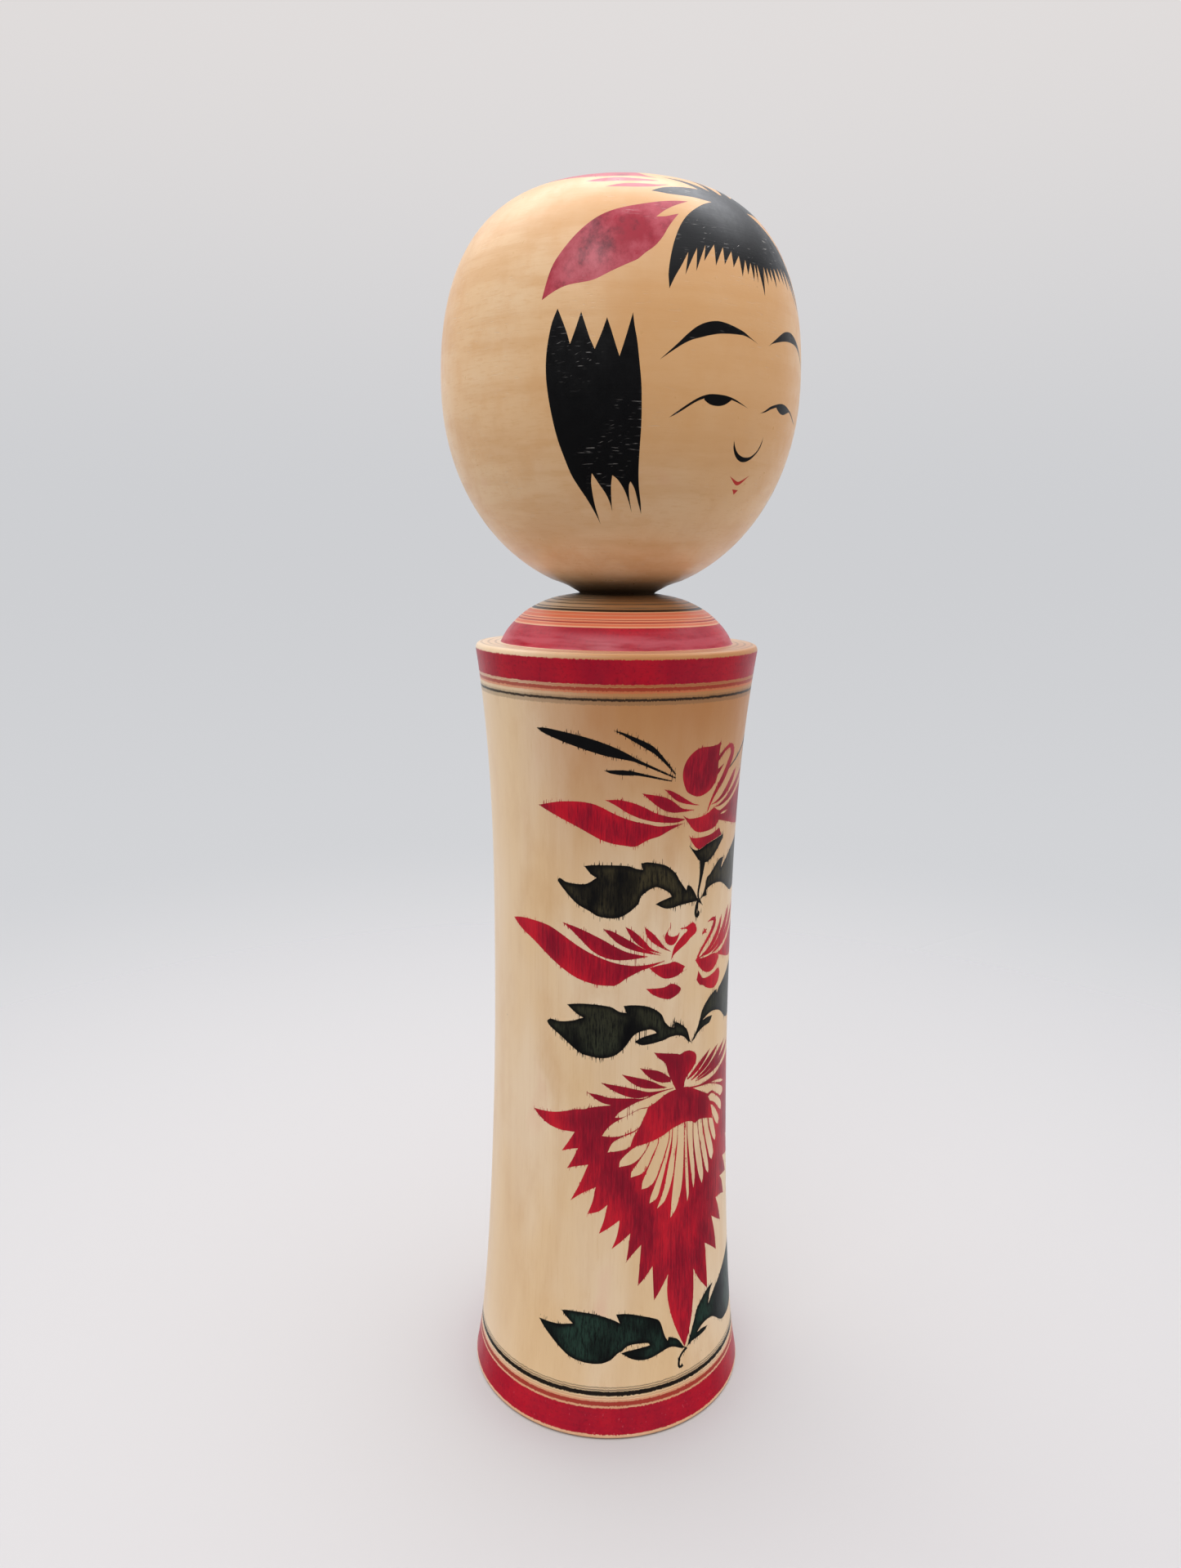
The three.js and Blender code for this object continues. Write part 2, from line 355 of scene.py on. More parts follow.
def serrated_mass():
    """The bottom flower's hanging mass: a crown of petals round a long central one."""
    left = [  # (side of the notch above, tip, side below, notch) down the left edge
        ((-31.5, 79), (-33.4, 76), (-31, 76.9), (-29.1, 77.4)),
        ((-30.5, 74.2), (-31.9, 71.6), (-30, 72.4), (-26.4, 73.4)),
        ((-28.5, 68), (-30.8, 63.2), (-28, 65.5), (-24.4, 67.6)),
        ((-25.2, 63.5), (-26.4, 60.2), (-23.5, 61.2), (-21.4, 63)),
        ((-22.2, 59), (-23.4, 55.2), (-21, 56.8), (-18.2, 59)),
        ((-19, 54.5), (-20.2, 51.2), (-18, 53), (-15.6, 55.2)),
        ((-16.1, 51), (-16.6, 47.4), (-15, 49.5), (-12.8, 51.8)),
        ((-13.2, 46), (-13.6, 40.8), (-12, 42.5), (-9.8, 45.5)),
        ((-9.6, 40.5), (-9.4, 36), (-8, 38), (-5.5, 42.2)),
    ]
    right = [  # up the right edge
        ((4.5, 37), (7.9, 32.5), (7.8, 37.5), (7.2, 45.8)),
        ((10, 43.5), (12.8, 41), (12, 46.5), (10.5, 51.8)),
        ((13.6, 49.4), (15.8, 48), (14.5, 52.5), (13, 55.8)),
        ((16.6, 55), (19.2, 53.8), (17.5, 58.5), (15.8, 60.5)),
        ((19.4, 59.6), (22.2, 58.8), (20, 62.5), (18.5, 65)),
        ((23, 63.6), (26.4, 62.4), (24.6, 66.6), (22.6, 69.2)),
        ((27, 67.8), (30.4, 67), (29.2, 71), (27.4, 73.6)),
        ((31, 73), (33.6, 73.4), (32.4, 77), (30.4, 79.4)),
    ]
    points = [(-42, 85.1, C), (-40.5, 83.8), (-37.5, 82.2), (-34, 81.5), (-30, 81.6, C)]
    for above, tip, below, notch in left:
        points += [above, (*tip, C), below, (*notch, C)]
    points += [(-5.8, 38), (-5.5, 34.5), (-4.5, 30), (-3, 25.5), (-0.9, 20.5, C), (0.2, 23), (1.5, 27.5),
               (2.2, 32), (2.5, 36), (2.5, 40.8, C)]
    for below, tip, above, notch in right:
        points += [below, (*tip, C), above, (*notch, C)]
    points += [(33, 81.2), (36, 82.6), (39, 83.9), (41, 85.2, C), (37, 86), (33, 87.4), (29, 88.8),
               (25, 89.6), (22, 89.4, C), (24, 90.8), (27, 92.5, C), (23, 92.8), (16, 91.8), (12, 90.9), (5, 90.6),
               (-1.1, 91.6, C), (-3.5, 91.6, C), (-4.5, 91.5), (-9.5, 91.7), (-13, 90.8), (-15.5, 91.1),
               (-18.5, 91.2), (-21.5, 91.4), (-24, 92), (-27, 92.4, C), (-25, 91), (-23, 89.9),
               (-21, 89.4, C), (-25, 88.8), (-27.5, 88), (-30, 87.6), (-32, 86.9), (-35, 86), (-37.5, 85.5)]
    return outline(*points)


def bare_petal(tip, one_side, root, other_side):
    """A petal left unpainted: from its tip along one side to its root, and back along the other."""
    return outline((*tip, C), *one_side, *[(*point, C) for point in root], *other_side)


def bare_petals():
    """The unpainted petals that fan out below the crescent, from the viewer's left to right."""
    return [
        bare_petal((-19.8, 86.2), [(-18.7, 87.5), (-14.8, 89.7), (-11.8, 90.6), (-9.3, 91.4),
                   (-6.4, 91.9)], [(-3.8, 91.8), (-11.4, 88.4)], [(-13.5, 88.2), (-17.9, 86.2)]),
        bare_petal((-23, 81.3), [(-21.8, 83.1), (-19.8, 84.9), (-13.6, 88)], [(-11.5, 88.1),
                   (-12.9, 84)], [(-14.6, 82.7), (-18.5, 81.3), (-20.6, 81.1)]),
        bare_petal((-21.5, 77), [(-20.6, 79.1), (-19.3, 80.3), (-15, 82.1)], [(-13.9, 82.8),
                   (-15.7, 78.6)], [(-17, 77.8)]),
        bare_petal((-18.6, 73.1), [(-18.3, 74.8), (-15.6, 77.5)], [(-13.8, 78.6), (-11, 79.3)],
                   [(-11.8, 77.2), (-14.8, 74.1)]),
        bare_petal((-15.6, 70.2), [(-15.4, 71.8), (-14.1, 73.5), (-11.2, 77.8)], [(-10.6, 79.4),
                   (-8.6, 80)], [(-8.7, 78.1), (-10, 75.6), (-12.2, 71.4)]),
        bare_petal((-12.8, 66.8), [(-12.5, 68.9), (-8.4, 78.2)], [(-8.2, 80.1), (-5.4, 81.2)],
                   [(-5.6, 78.5), (-8.9, 69.4), (-10.2, 67.6), (-11.4, 67)]),
        bare_petal((-10.7, 62.7), [(-10.4, 64.3), (-7.3, 72.2), (-5.3, 78.5)], [(-5.1, 81.2),
                   (-4.5, 81.4)], [(-4.8, 78), (-7.9, 66), (-8.9, 63.6)]),
        bare_petal((-8.6, 60.9), [(-6.7, 66), (-5.3, 72.7), (-4.6, 75.6)], [(-4.2, 81.5), (-2.9, 81.9)],
                   [(-3, 78), (-3.4, 75.6), (-4.2, 68.9), (-6.4, 62.7)]),
        bare_petal((-4.8, 57.5), [(-4.4, 62.7), (-2.8, 77.2)], [(-2.7, 82), (-0.8, 82.1)],
                   [(-0.8, 75.2), (-1.2, 66.8), (-2, 62.7), (-3.3, 59.3)]),
        bare_petal((0.5, 60.3), [(-0.1, 66.8)], [(-0.45, 82.1), (0.1, 82.1)], [(0.3, 75.2), (1, 62.7)]),
        bare_petal((2.7, 63.2), [(2.2, 65.5), (0.55, 77.5)], [(0.35, 82), (2.2, 81.6)], [(2.35, 76),
                   (3.1, 68), (3.1, 65.5)]),
        bare_petal((6, 63.2), [(5.1, 65), (4.2, 68), (2.75, 76)], [(2.5, 81.4), (4, 81.2)],
                   [(4.2, 78.5), (6.25, 68), (6.5, 65)]),
        bare_petal((8.8, 64.8), [(7.6, 66.5), (4.7, 77)], [(4.3, 81.2), (5.8, 81)], [(6.2, 78),
                   (8.5, 69), (9, 66)]),
        bare_petal((10.6, 67.8), [(9.5, 69), (6.7, 78)], [(6.2, 81), (8.2, 80.6)], [(9, 77), (10, 74.5),
                   (11.5, 69.5)]),
        bare_petal((12.3, 72.3), [(11, 74), (9.3, 78)], [(8.6, 80.5), (10.8, 79.8)], [(12.9, 73.3)]),
        bare_petal((14.8, 76), [(14, 76.1), (12.8, 77.3)], [(10.9, 80.2), (9.9, 83.2)], [(11.4, 82.3),
                   (15.1, 77.5)]),
        bare_petal((16.6, 79), [(15.2, 80), (11.8, 83.2)], [(9.6, 84.4), (8.6, 85.9)], [(10.2, 86.2),
                   (12, 85.2), (16, 82), (16.9, 80.3)]),
        bare_petal((17.9, 83.4), [(16, 83.2), (14.5, 84.3), (13, 85.2), (10.6, 86.8)], [(8.2, 86.9),
                   (2.2, 90.4)], [(8.5, 89.4), (12, 88.1), (17, 85.4), (18.1, 84.3)]),
        bare_petal((18.6, 86.4), [(16, 87)], [(10, 89.3)], [(12, 89), (16, 87.8)]),
        bare_petal((0, 91.2), [(6, 90.5)], [(12.5, 91.4)], [(6, 91.4)]),
    ]


def bottom_flower():
    """A large flower seen from the front: rays above, a serrated mass with bare petals below."""
    heart = outline(
        (-10, 102.4, C), (-3.5, 101), (-2.5, 100.6), (-1, 101), (0.5, 100.9), (2.2, 100.1), (3.2, 99),
        (3.1, 97.2), (2.2, 96), (0, 94.2), (-0.8, 92.8), (-1.1, 91.4, C), (-3.5, 91.4, C), (-6, 96.5),
        (-6.8, 99), (-9, 101))
    rays = [
        brush((-13.7, 98.8, 0), (-11.5, 97.4, 1.6), (-9.3, 96.3, 2.6), (-7.2, 95.2, 2.2),
              (-5.2, 94.4, 1)),
        brush((-18.3, 97.4, 0), (-15.8, 96, 1.5), (-12.8, 94.7, 2.3), (-10, 93.8, 1.7), (-8, 93.1, 0.8),
              (-6.2, 92.7, 0.1)),
        brush((-23.5, 95.2, 0), (-21, 94.2, 1.2), (-17.5, 93, 2.2), (-14, 92, 2.2), (-11, 91.8, 1),
              (-4.3, 92.1, 0.15)),
        brush((0.2, 93.4, 0.4), (2, 94.3, 1.1), (4.5, 95.8, 1.6), (7, 97.4, 1.2), (9.3, 98.9, 0)),
        brush((1.5, 92.7, 0.3), (4.5, 93.9, 1.1), (8, 95.6, 1.9), (11, 97.2, 1.3), (13.8, 98.5, 0)),
        brush((3.5, 92.5, 0.3), (8, 93.6, 1.4), (12.5, 95.1, 2.1), (16, 96.6, 1.5), (19, 97.9, 0)),
        brush((3, 92, 0.2), (9, 92.5, 1.1), (15, 93.7, 2.1), (20, 95.1, 1.7), (24, 96.4, 0)),
    ]
    crescent = outline(
        (-16, 78, C), (-15, 81), (-13.5, 83.5), (-11.5, 87.8, C), (-6, 91.2), (-1, 91.4), (1.5, 90.8),
        (6.5, 87), (8.5, 84.5), (11.1, 78.8, C), (10, 79.5), (5, 81.1), (3.2, 80.6, C), (0.8, 82),
        (-4, 81.5), (-7, 80.2), (-10, 79.2))
    return [("red", [heart, serrated_mass()] + rays), ("bare", bare_petals()), ("red", [crescent])]


def bottom_leaves():
    """The two leaves at the foot of the stem, and its curled end."""
    leaf = outline(
        (-38.5, 28.9, C), (-33.5, 29.1), (-29.5, 30.1, C), (-31.5, 32), (-32.4, 33.1, C), (-30.5, 33.5),
        (-24, 33.4), (-19.5, 32), (-18, 31.1, C), (-18.9, 33.5, C), (-17, 33.6), (-14, 33), (-9, 31),
        (-7.8, 29.8), (-6.5, 25.5), (-5.8, 24, C), (-5.5, 25, C), (-3, 23.5), (-1, 20.5), (-0.2, 20, C),
        (-2, 20.5), (-4.2, 21.8), (-6, 21.9), (-10, 20.6), (-12.5, 20.4), (-15, 21.1), (-17.6, 22.9, C),
        (-16, 23.4), (-10.5, 24.1, C), (-11, 24.8), (-15, 25), (-16.5, 24.4), (-17.2, 23.6),
        (-18.5, 22.8), (-20, 21.2), (-22, 20.2), (-24.5, 19.9), (-27.5, 20.2), (-30, 21), (-32.5, 22.8),
        (-37, 27))
    other = outline(
        (-0.2, 20, C), (1.5, 20.9), (4, 21.1), (6.5, 21.5), (7.5, 22.2, C), (5.5, 22.6), (3.5, 22.5, C),
        (5, 23.5), (7.5, 23.9), (10, 23.2), (14.5, 19.5), (17, 18.8), (22, 18.5), (27, 19.6),
        (31.4, 22.4), (35.4, 26.8), (38.2, 31.4, C), (34, 31.2), (30.4, 32.2, C), (33.4, 36.2, C),
        (27.6, 37.2), (21.2, 36), (12.5, 31.5), (10, 29.8), (8.2, 28, C), (9, 31), (10.5, 32.9, C),
        (8, 32.5), (5.5, 31), (3.5, 29), (2.5, 26.5))
    curl = brush((-0.2, 20, 0.9), (-1.5, 19.2, 0.7), (-2.5, 18, 0.6), (-2.8, 16.5, 0.6),
                 (-2.5, 15.5, 0.7), (-1.6, 15.8, 0.9))
    return [("dark", [leaf, other, curl])]


def body_painting():
    """Everything on the body, as (pigment, strokes) in the order it is laid on."""
    layers = []
    for part in (top_flower, top_leaves, middle_flower, middle_leaves, bottom_flower, bottom_leaves):
        layers += part()
    return layers


def side_lock():
    """The lock of hair beside the face, spiked above and below."""
    above = [((-45.5, 269.7), (-44.3, 267.1), (-43.4, 264.9), (-42.7, 262.7), (-41.6, 265.6)),
             ((-40.5, 268.9), (-39.3, 265.6), (-38.6, 263.7), (-37.6, 261.6), (-36.2, 264.9)),
             ((-35.2, 267.7), (-34.3, 265.2), (-33.4, 262.5), (-32.6, 260.2), (-31.5, 263.6))]
    points = []
    for tip, side, low_side, notch, rise in above:
        points += [(*tip, C), side, low_side, (*notch, C), rise]
    points += [
        (-30, 268.7, C), (-29.7, 266.4), (-29.1, 263.3), (-28.6, 259.5), (-28.1, 255.2), (-27.9, 251.4),
        (-27.8, 246.8), (-27.9, 241.4), (-27.8, 237.5), (-27.4, 234.5), (-26.6, 231.4), (-26.2, 229.3, C),
        (-27.4, 231.8), (-28.6, 234.6), (-29.6, 235.9, C), (-29.9, 235.2), (-29.7, 232.9), (-28.8, 229.6, C),
        (-30.1, 232.5), (-31.2, 234.5), (-32.8, 236.4), (-33.9, 237.1, C), (-34.2, 235.2), (-34.2, 232.5),
        (-34, 229.8, C), (-34.5, 231.4), (-35.5, 233.3), (-37, 235.2), (-38.7, 237.5, C), (-39, 235.6),
        (-38.8, 232.9), (-38.4, 230.6), (-37.4, 227.1, C), (-38, 228.3), (-40.3, 232.1), (-42, 234.5),
        (-43.6, 237.1), (-44.9, 240.6), (-46.1, 244.5), (-47, 249.1), (-47.6, 253.3), (-47.9, 257.1),
        (-47.8, 260.6), (-47.3, 264.1), (-46.6, 267.1)]
    return outline(*points)


def face_painting():
    """Strokes on the face as (u, z), u measured from the middle of the face."""
    lock = side_lock()
    brows = [
        brush((-24.5, 259.7, 0), (-20.4, 262.9, 0.7), (-18.3, 264.4, 1.4), (-16, 265.6, 2.3),
              (-13.7, 266.4, 2.6), (-11, 266.8, 2.4), (-5.6, 266.3, 0.9), (-3.3, 265.6, 0.25),
              (-0.8, 264.6, 0)),
        brush((2.9, 264.7, 0), (4.6, 265.6, 0.3), (9, 267.3, 1.7), (11.5, 267.8, 2.1), (14, 267.8, 2),
              (17, 267.2, 1.3), (20, 265.9, 0.7), (23.5, 263.6, 0.3), (26, 261.6, 0)),
    ]
    eyes = [
        brush((-22, 248.6, 0), (-20.5, 249.5, 0.35), (-16.6, 252, 0.5), (-14.6, 252.9, 0.6),
              (-12.5, 253.3, 0.7), (-8, 253.1, 0.5), (-2.6, 251.5, 0)),
        brush((-14.4, 252.5, 0.2), (-13, 252.4, 1.6), (-11, 252.4, 2.1), (-9.3, 252.5, 1.5),
              (-7.7, 252.8, 0.2)),
        brush((1.5, 250.8, 0), (3.5, 251.5, 0.4), (5.5, 252.4, 0.6), (10.2, 253.3, 0.6),
              (14.8, 252.5, 0.4), (19.5, 250.8, 0.25), (21.8, 250.1, 0)),
        brush((7.6, 252.6, 0.2), (9.3, 252.4, 1.5), (11.2, 252.4, 2), (13, 252.5, 1.3),
              (14.6, 252.4, 0.2)),
    ]
    nose = brush((-5.2, 244.9, 0), (-4.7, 243.5, 0.5), (-3.5, 242.1, 0.85), (-1.8, 241.3, 1.05),
                 (-0.1, 241.2, 0.95), (1.6, 241.7, 0.6), (3.2, 242.9, 0.4), (4.1, 244.4, 0.35),
                 (4.4, 246.3, 0))
    lips = [
        brush((-3.7, 237.7, 0), (-0.6, 236.3, 0.75), (0.6, 236.4, 0.75), (3.4, 238.1, 0)),
        outline((-1.2, 235, C), (1.1, 234.9, C), (0.15, 233.9, C)),
    ]
    return [("dark", [lock, flipped(lock)] + brows + eyes + [nose]), ("red", lips)]


def bristles(count=10, left=-20.5, right=1.4):
    """The fringe's lower edge up to its middle: notches, and between them bristles that lean to the left."""
    shares = 1 - (1 - np.arange(count + 1) / count) ** 1.3
    across = left + (right - left) * shares
    points = []
    for number, (x, after) in enumerate(zip(across, across[1:])):
        t = min(max((x + 15) / 15, 0), 1)
        edge = -45.2 - 4.6 * t * t * (3 - 2 * t)
        tip = edge - 3.8 - 0.7 * math.sin(2.4 * number)
        points += [(x, edge, C), (0.61 * (x + after) - 0.4, tip, C)]
    return points


def fringe():
    """The fringe: a band of hair across the forehead, ending in bristles and one long lock."""
    lower = bristles()
    lock = [(1.4, -49.8, C), (3.2, -56.2, C), (3.9, -50.2, C)]
    right = [(4.6 - x, y + 0.3, C) for x, y, _ in reversed(lower)]
    upper = [(27.6, -46.4), (22.6, -41.7), (17.1, -38.3), (10.4, -36), (5.4, -34.6, C), (5, -31, C),
             (-4, -31, C), (-5.4, -34.8, C), (-10.4, -36), (-17.1, -38.3), (-22.6, -41.7), (-27.6, -46.3)]
    return outline((-29.4, -49.4, C), (-26.4, -48), (-23.7, -46.9), *lower, *lock, *right, (27.6, -47.4),
                   (30, -48.4, C), *upper)


def crown_painting():
    """Strokes on top of the head as (x, y) from the crown, face towards -y, measured over the surface."""
    knot = outline(
        (-19, -28.4, C), (-15.5, -28.5), (-7.5, -30.1), (-2.4, -30.8), (3, -31, C), (3, -35.6, C),
        (-5.8, -35), (-9.6, -33.7), (-15.5, -31.2))
    tuft = [
        brush((-1, -34, 4), (-1.6, -30, 2.6), (-1.9, -26, 1.6), (-2.8, -21, 0)),
        brush((1.5, -34, 4), (3.2, -29.5, 3), (4.4, -25, 2), (5.2, -19.6, 0)),
        brush((-2.5, -34, 4), (-5.4, -29.6, 2.4), (-8.2, -26.2, 1.4), (-11.4, -23.6, 0)),
        brush((3.5, -34, 4), (10.6, -26, 1.5), (13.6, -23, 0)),
    ]
    ribbon = outline(
        (-54.8, -23.2, C), (-48.6, -22.6), (-45.3, -22.9), (-33.1, -25.9), (-23, -30.8),
        (-12.9, -34.4, C), (-19.7, -34.6), (-23.1, -35, C), (-20.9, -36), (-17.6, -36.7, C),
        (-22.2, -38.5), (-24.7, -39.6), (-27.6, -40.2), (-30.6, -40), (-33.5, -39.7), (-41.9, -35.8),
        (-44.9, -33.7), (-49.9, -27.8))
    back_ribbon = outline(
        (-13.2, -24.2, C), (-14.8, -22.8), (-16.7, -20.9), (-19.2, -19), (-21.3, -16.5), (-23, -13.5),
        (-23.9, -10.6), (-24.9, -4.7), (-24.6, 2), (-22.6, 9), (-18.4, 16), (-12.6, 23.4, C),
        (-12.4, 16), (-11.4, 8), (-10.8, 0), (-11, -8), (-12, -15), (-14.2, -21.4))
    thin = [
        brush((-25.8, -14.8, 0), (-23.8, -17.3, 1.8), (-21.2, -20, 2.1), (-18.6, -22.6, 1.6),
              (-16.3, -24.4, 1), (-14.2, -25.6, 0.2)),
        brush((-25.5, -20.7, 0), (-23, -22.6, 1.2), (-20.5, -24.7, 1.6), (-18, -26.4, 1.3),
              (-15.9, -27.4, 0.7), (-13.4, -27.9, 0.1)),
    ]
    red = petals(*[(stroke, 0.0) for stroke in [ribbon, back_ribbon] + thin])
    red += [brush((0, -17, 0), (-1, -10, 3.2), (-0.6, 0, 4.6), (0.4, 10, 3.6), (0, 19, 0))]
    return [("red", red), ("dark", [fringe(), knot, flipped(knot)] + tuft)]


# ---------------------------------------------------------------------------------------------
# Painted meshes
# ---------------------------------------------------------------------------------------------

def inside(points, polygon):
    """Which points lie inside a polygon, by winding number."""
    winding = np.zeros(len(points), int)
    low, high = polygon.min(0), polygon.max(0)
    near = np.flatnonzero(((points > low) & (points < high)).all(1))
    x, y = points[near, 0][:, None], points[near, 1][:, None]
    (x0, y0), (x1, y1) = polygon.T, np.roll(polygon, -1, axis=0).T
    left = (x1 - x0) * (y - y0) - (x - x0) * (y1 - y0)
    upward = ((y0 <= y) & (y1 > y) & (left > 0)).sum(1)
    downward = ((y0 > y) & (y1 <= y) & (left < 0)).sum(1)
    winding[near] = upward - downward
    return winding != 0


def cut(layers, fixed_points, fixed_edges, grid):
    """Triangles that follow every painted edge, and the pigment of each triangle (0 bare, 1 red, 2 dark)."""
    points = [fixed_points]
    edges = list(fixed_edges)
    count = len(fixed_points)
    for _, strokes in layers:
        for stroke in strokes:
            around = np.arange(len(stroke)) + count
            edges += zip(around.tolist(), np.roll(around, -1).tolist())
            points.append(stroke)
            count += len(stroke)
    points.append(grid)
    made = delaunay_2d_cdt(np.vstack(points).tolist(), edges, [], 0, 1e-5)
    vertices = np.array(made[0])
    triangles = np.array(made[2])
    a, b, c = (vertices[triangles[:, i]] for i in range(3))
    area = (b[:, 0] - a[:, 0]) * (c[:, 1] - a[:, 1]) - (b[:, 1] - a[:, 1]) * (c[:, 0] - a[:, 0])
    triangles[area < 0] = triangles[area < 0][:, ::-1]
    triangles = triangles[np.abs(area) > 1e-9]
    middle = vertices[triangles].mean(1)
    pigment = np.zeros(len(triangles), int)
    for name, strokes in layers:
        for stroke in strokes:
            pigment[inside(middle, stroke)] = ("bare", "red", "dark").index(name)
    return vertices, triangles, pigment


def painted_edges(places, triangles, pigment, kind, step=0.2):
    """Points, closely spaced, along the edges of everything painted with one pigment."""
    owner = {}
    ends = []
    for triangle, colour in zip(triangles.tolist(), (pigment == kind).tolist()):
        for a, b in zip(triangle, triangle[1:] + triangle[:1]):
            key = (min(a, b), max(a, b))
            if key in owner and owner[key] != colour:
                ends.append(key)
            owner[key] = colour
    result = []
    for a, b in ends:
        count = max(1, math.ceil(np.linalg.norm(places[b] - places[a]) / step))
        share = np.linspace(0, 1, count + 1)[:, None]
        result.append(places[a] * (1 - share) + places[b] * share)
    return np.vstack(result)


def nearest(places, targets):
    """Distance from each place to the nearest target."""
    tree = kdtree.KDTree(len(targets))
    for index, target in enumerate(targets.tolist()):
        tree.insert(target, index)
    tree.balance()
    return np.array([tree.find(place)[2] for place in places.tolist()])


UNPAINTED = -50.0             # signed distance where no stroke is near
EDGE_BIAS = 0.05              # keeps paint and bare wood apart where a triangle touches only edges
WICK = np.array([7.0, 7.0, 1.0])  # the dye runs along the grain, not across it


def edge_distance(places, triangles, border):
    """Distance from a painted edge per corner; a sliver with all corners on edges takes its middle's."""
    distance = nearest(places, border)[triangles]
    slivers = np.flatnonzero(distance.max(1) < 0.02)
    distance[slivers] = nearest(places[triangles[slivers]].mean(1), border)[:, None]
    return distance


def paint_fields(places, triangles, pigment, wicking):
    """Each pigment's distance from its edge, and the same along the grain: per corner, positive inside."""
    fields = {}
    for kind, name in ((1, "red"), (2, "dark")):
        border = painted_edges(places, triangles, pigment, kind)
        side = np.where(pigment == kind, 1.0, -1.0)[:, None]
        distance = edge_distance(places, triangles, border)
        fields[name] = (side * (distance + EDGE_BIAS)).ravel()
        along = edge_distance(places * WICK, triangles, border * WICK) if wicking else distance
        fields[name + "_wick"] = (side * (along + EDGE_BIAS)).ravel()
    return fields


def turn(angle, radius, height):
    """Places on a turned surface, angle 0 at the front and growing to the viewer's right."""
    level = np.broadcast_to(height, radius.shape)
    return np.stack([radius * np.sin(angle), -radius * np.cos(angle), level], 1)


class Turning:
    """Collects the vertices and faces of one turned piece, then writes them as a closed mesh."""

    def __init__(self, profile):
        self.profile = profile
        self.angle = []
        self.length = []
        self.faces = []
        self.fields = {}

    def add_points(self, angle, length):
        start = len(self.angle)
        self.angle += list(angle)
        self.length += list(length)
        return np.arange(start, len(self.angle))

    def add_faces(self, faces, fields=None):
        faces = [list(map(int, face)) for face in faces]
        self.faces += faces
        count = sum(map(len, faces))
        for name in ("red", "dark", "red_wick", "dark_wick"):
            values = fields[name] if fields else np.full(count, UNPAINTED)
            self.fields.setdefault(name, []).append(values)

    def ring(self, length):
        """A full row of points; on the axis, a single point repeated."""
        if self.profile.at(length)[0] < 0.01:
            return np.repeat(self.add_points([0.0], [length]), COLUMNS)
        angle = 2 * np.pi * np.arange(COLUMNS) / COLUMNS - np.pi
        return self.add_points(angle, np.full(COLUMNS, length))

    def strips(self, lower, upper):
        """Rows of points between two lengths along the outline; returns all the rows, first to last."""
        lengths = self.profile.length
        rows = [lower] + list(lengths[(lengths > lower + 0.02) & (lengths < upper - 0.02)]) + [upper]
        return [self.ring(length) for length in rows]

    def join(self, rows):
        for below, above in zip(rows, rows[1:]):
            quads = np.stack([below, np.roll(below, -1), np.roll(above, -1), above], 1)
            self.add_faces([list(dict.fromkeys(quad.tolist())) for quad in quads])

    def mesh(self, name, unroll):
        angle, length = np.array(self.angle), np.array(self.length)
        radius, height, normal_radius, normal_height = self.profile.at(length)
        places = turn(angle, radius, height)
        mesh = bpy.data.meshes.new(name)
        mesh.from_pydata((places * MM).tolist(), [], self.faces)
        for key, values in self.fields.items():
            attribute = mesh.attributes.new(key, "FLOAT", "CORNER")
            attribute.data.foreach_set("value", np.concatenate(values).astype(np.float32))
        corner = np.concatenate([np.array(face) for face in self.faces])
        sizes = np.array([len(face) for face in self.faces])
        face_of = np.repeat(np.arange(len(sizes)), sizes)
        middle = np.zeros((len(sizes), 3))
        np.add.at(middle, face_of, np.stack([np.sin(angle), np.cos(angle), length], 1)[corner])
        middle /= sizes[:, None]
        face_angle = np.arctan2(middle[:, 0], middle[:, 1])[face_of]
        around = (angle[corner] - face_angle + np.pi) % (2 * np.pi) - np.pi + face_angle
        around = np.where(radius[corner] < 0.01, face_angle, around)
        layer = mesh.uv_layers.new(name="OFBake")
        unrolled = unroll(around, length[corner], middle[face_of, 2])
        layer.data.foreach_set("uv", unrolled.astype(np.float32).ravel())
        mesh.shade_smooth()
        normals = turn(angle, normal_radius, normal_height)
        mesh.normals_split_custom_set_from_vertices(normals.tolist())
        mesh.validate()
        return mesh


def disc(angle, share, centre):
    """Texture places on a disc."""
    return np.stack([centre + 0.12 * share * np.sin(angle), 0.125 - 0.12 * share * np.cos(angle)], 1)


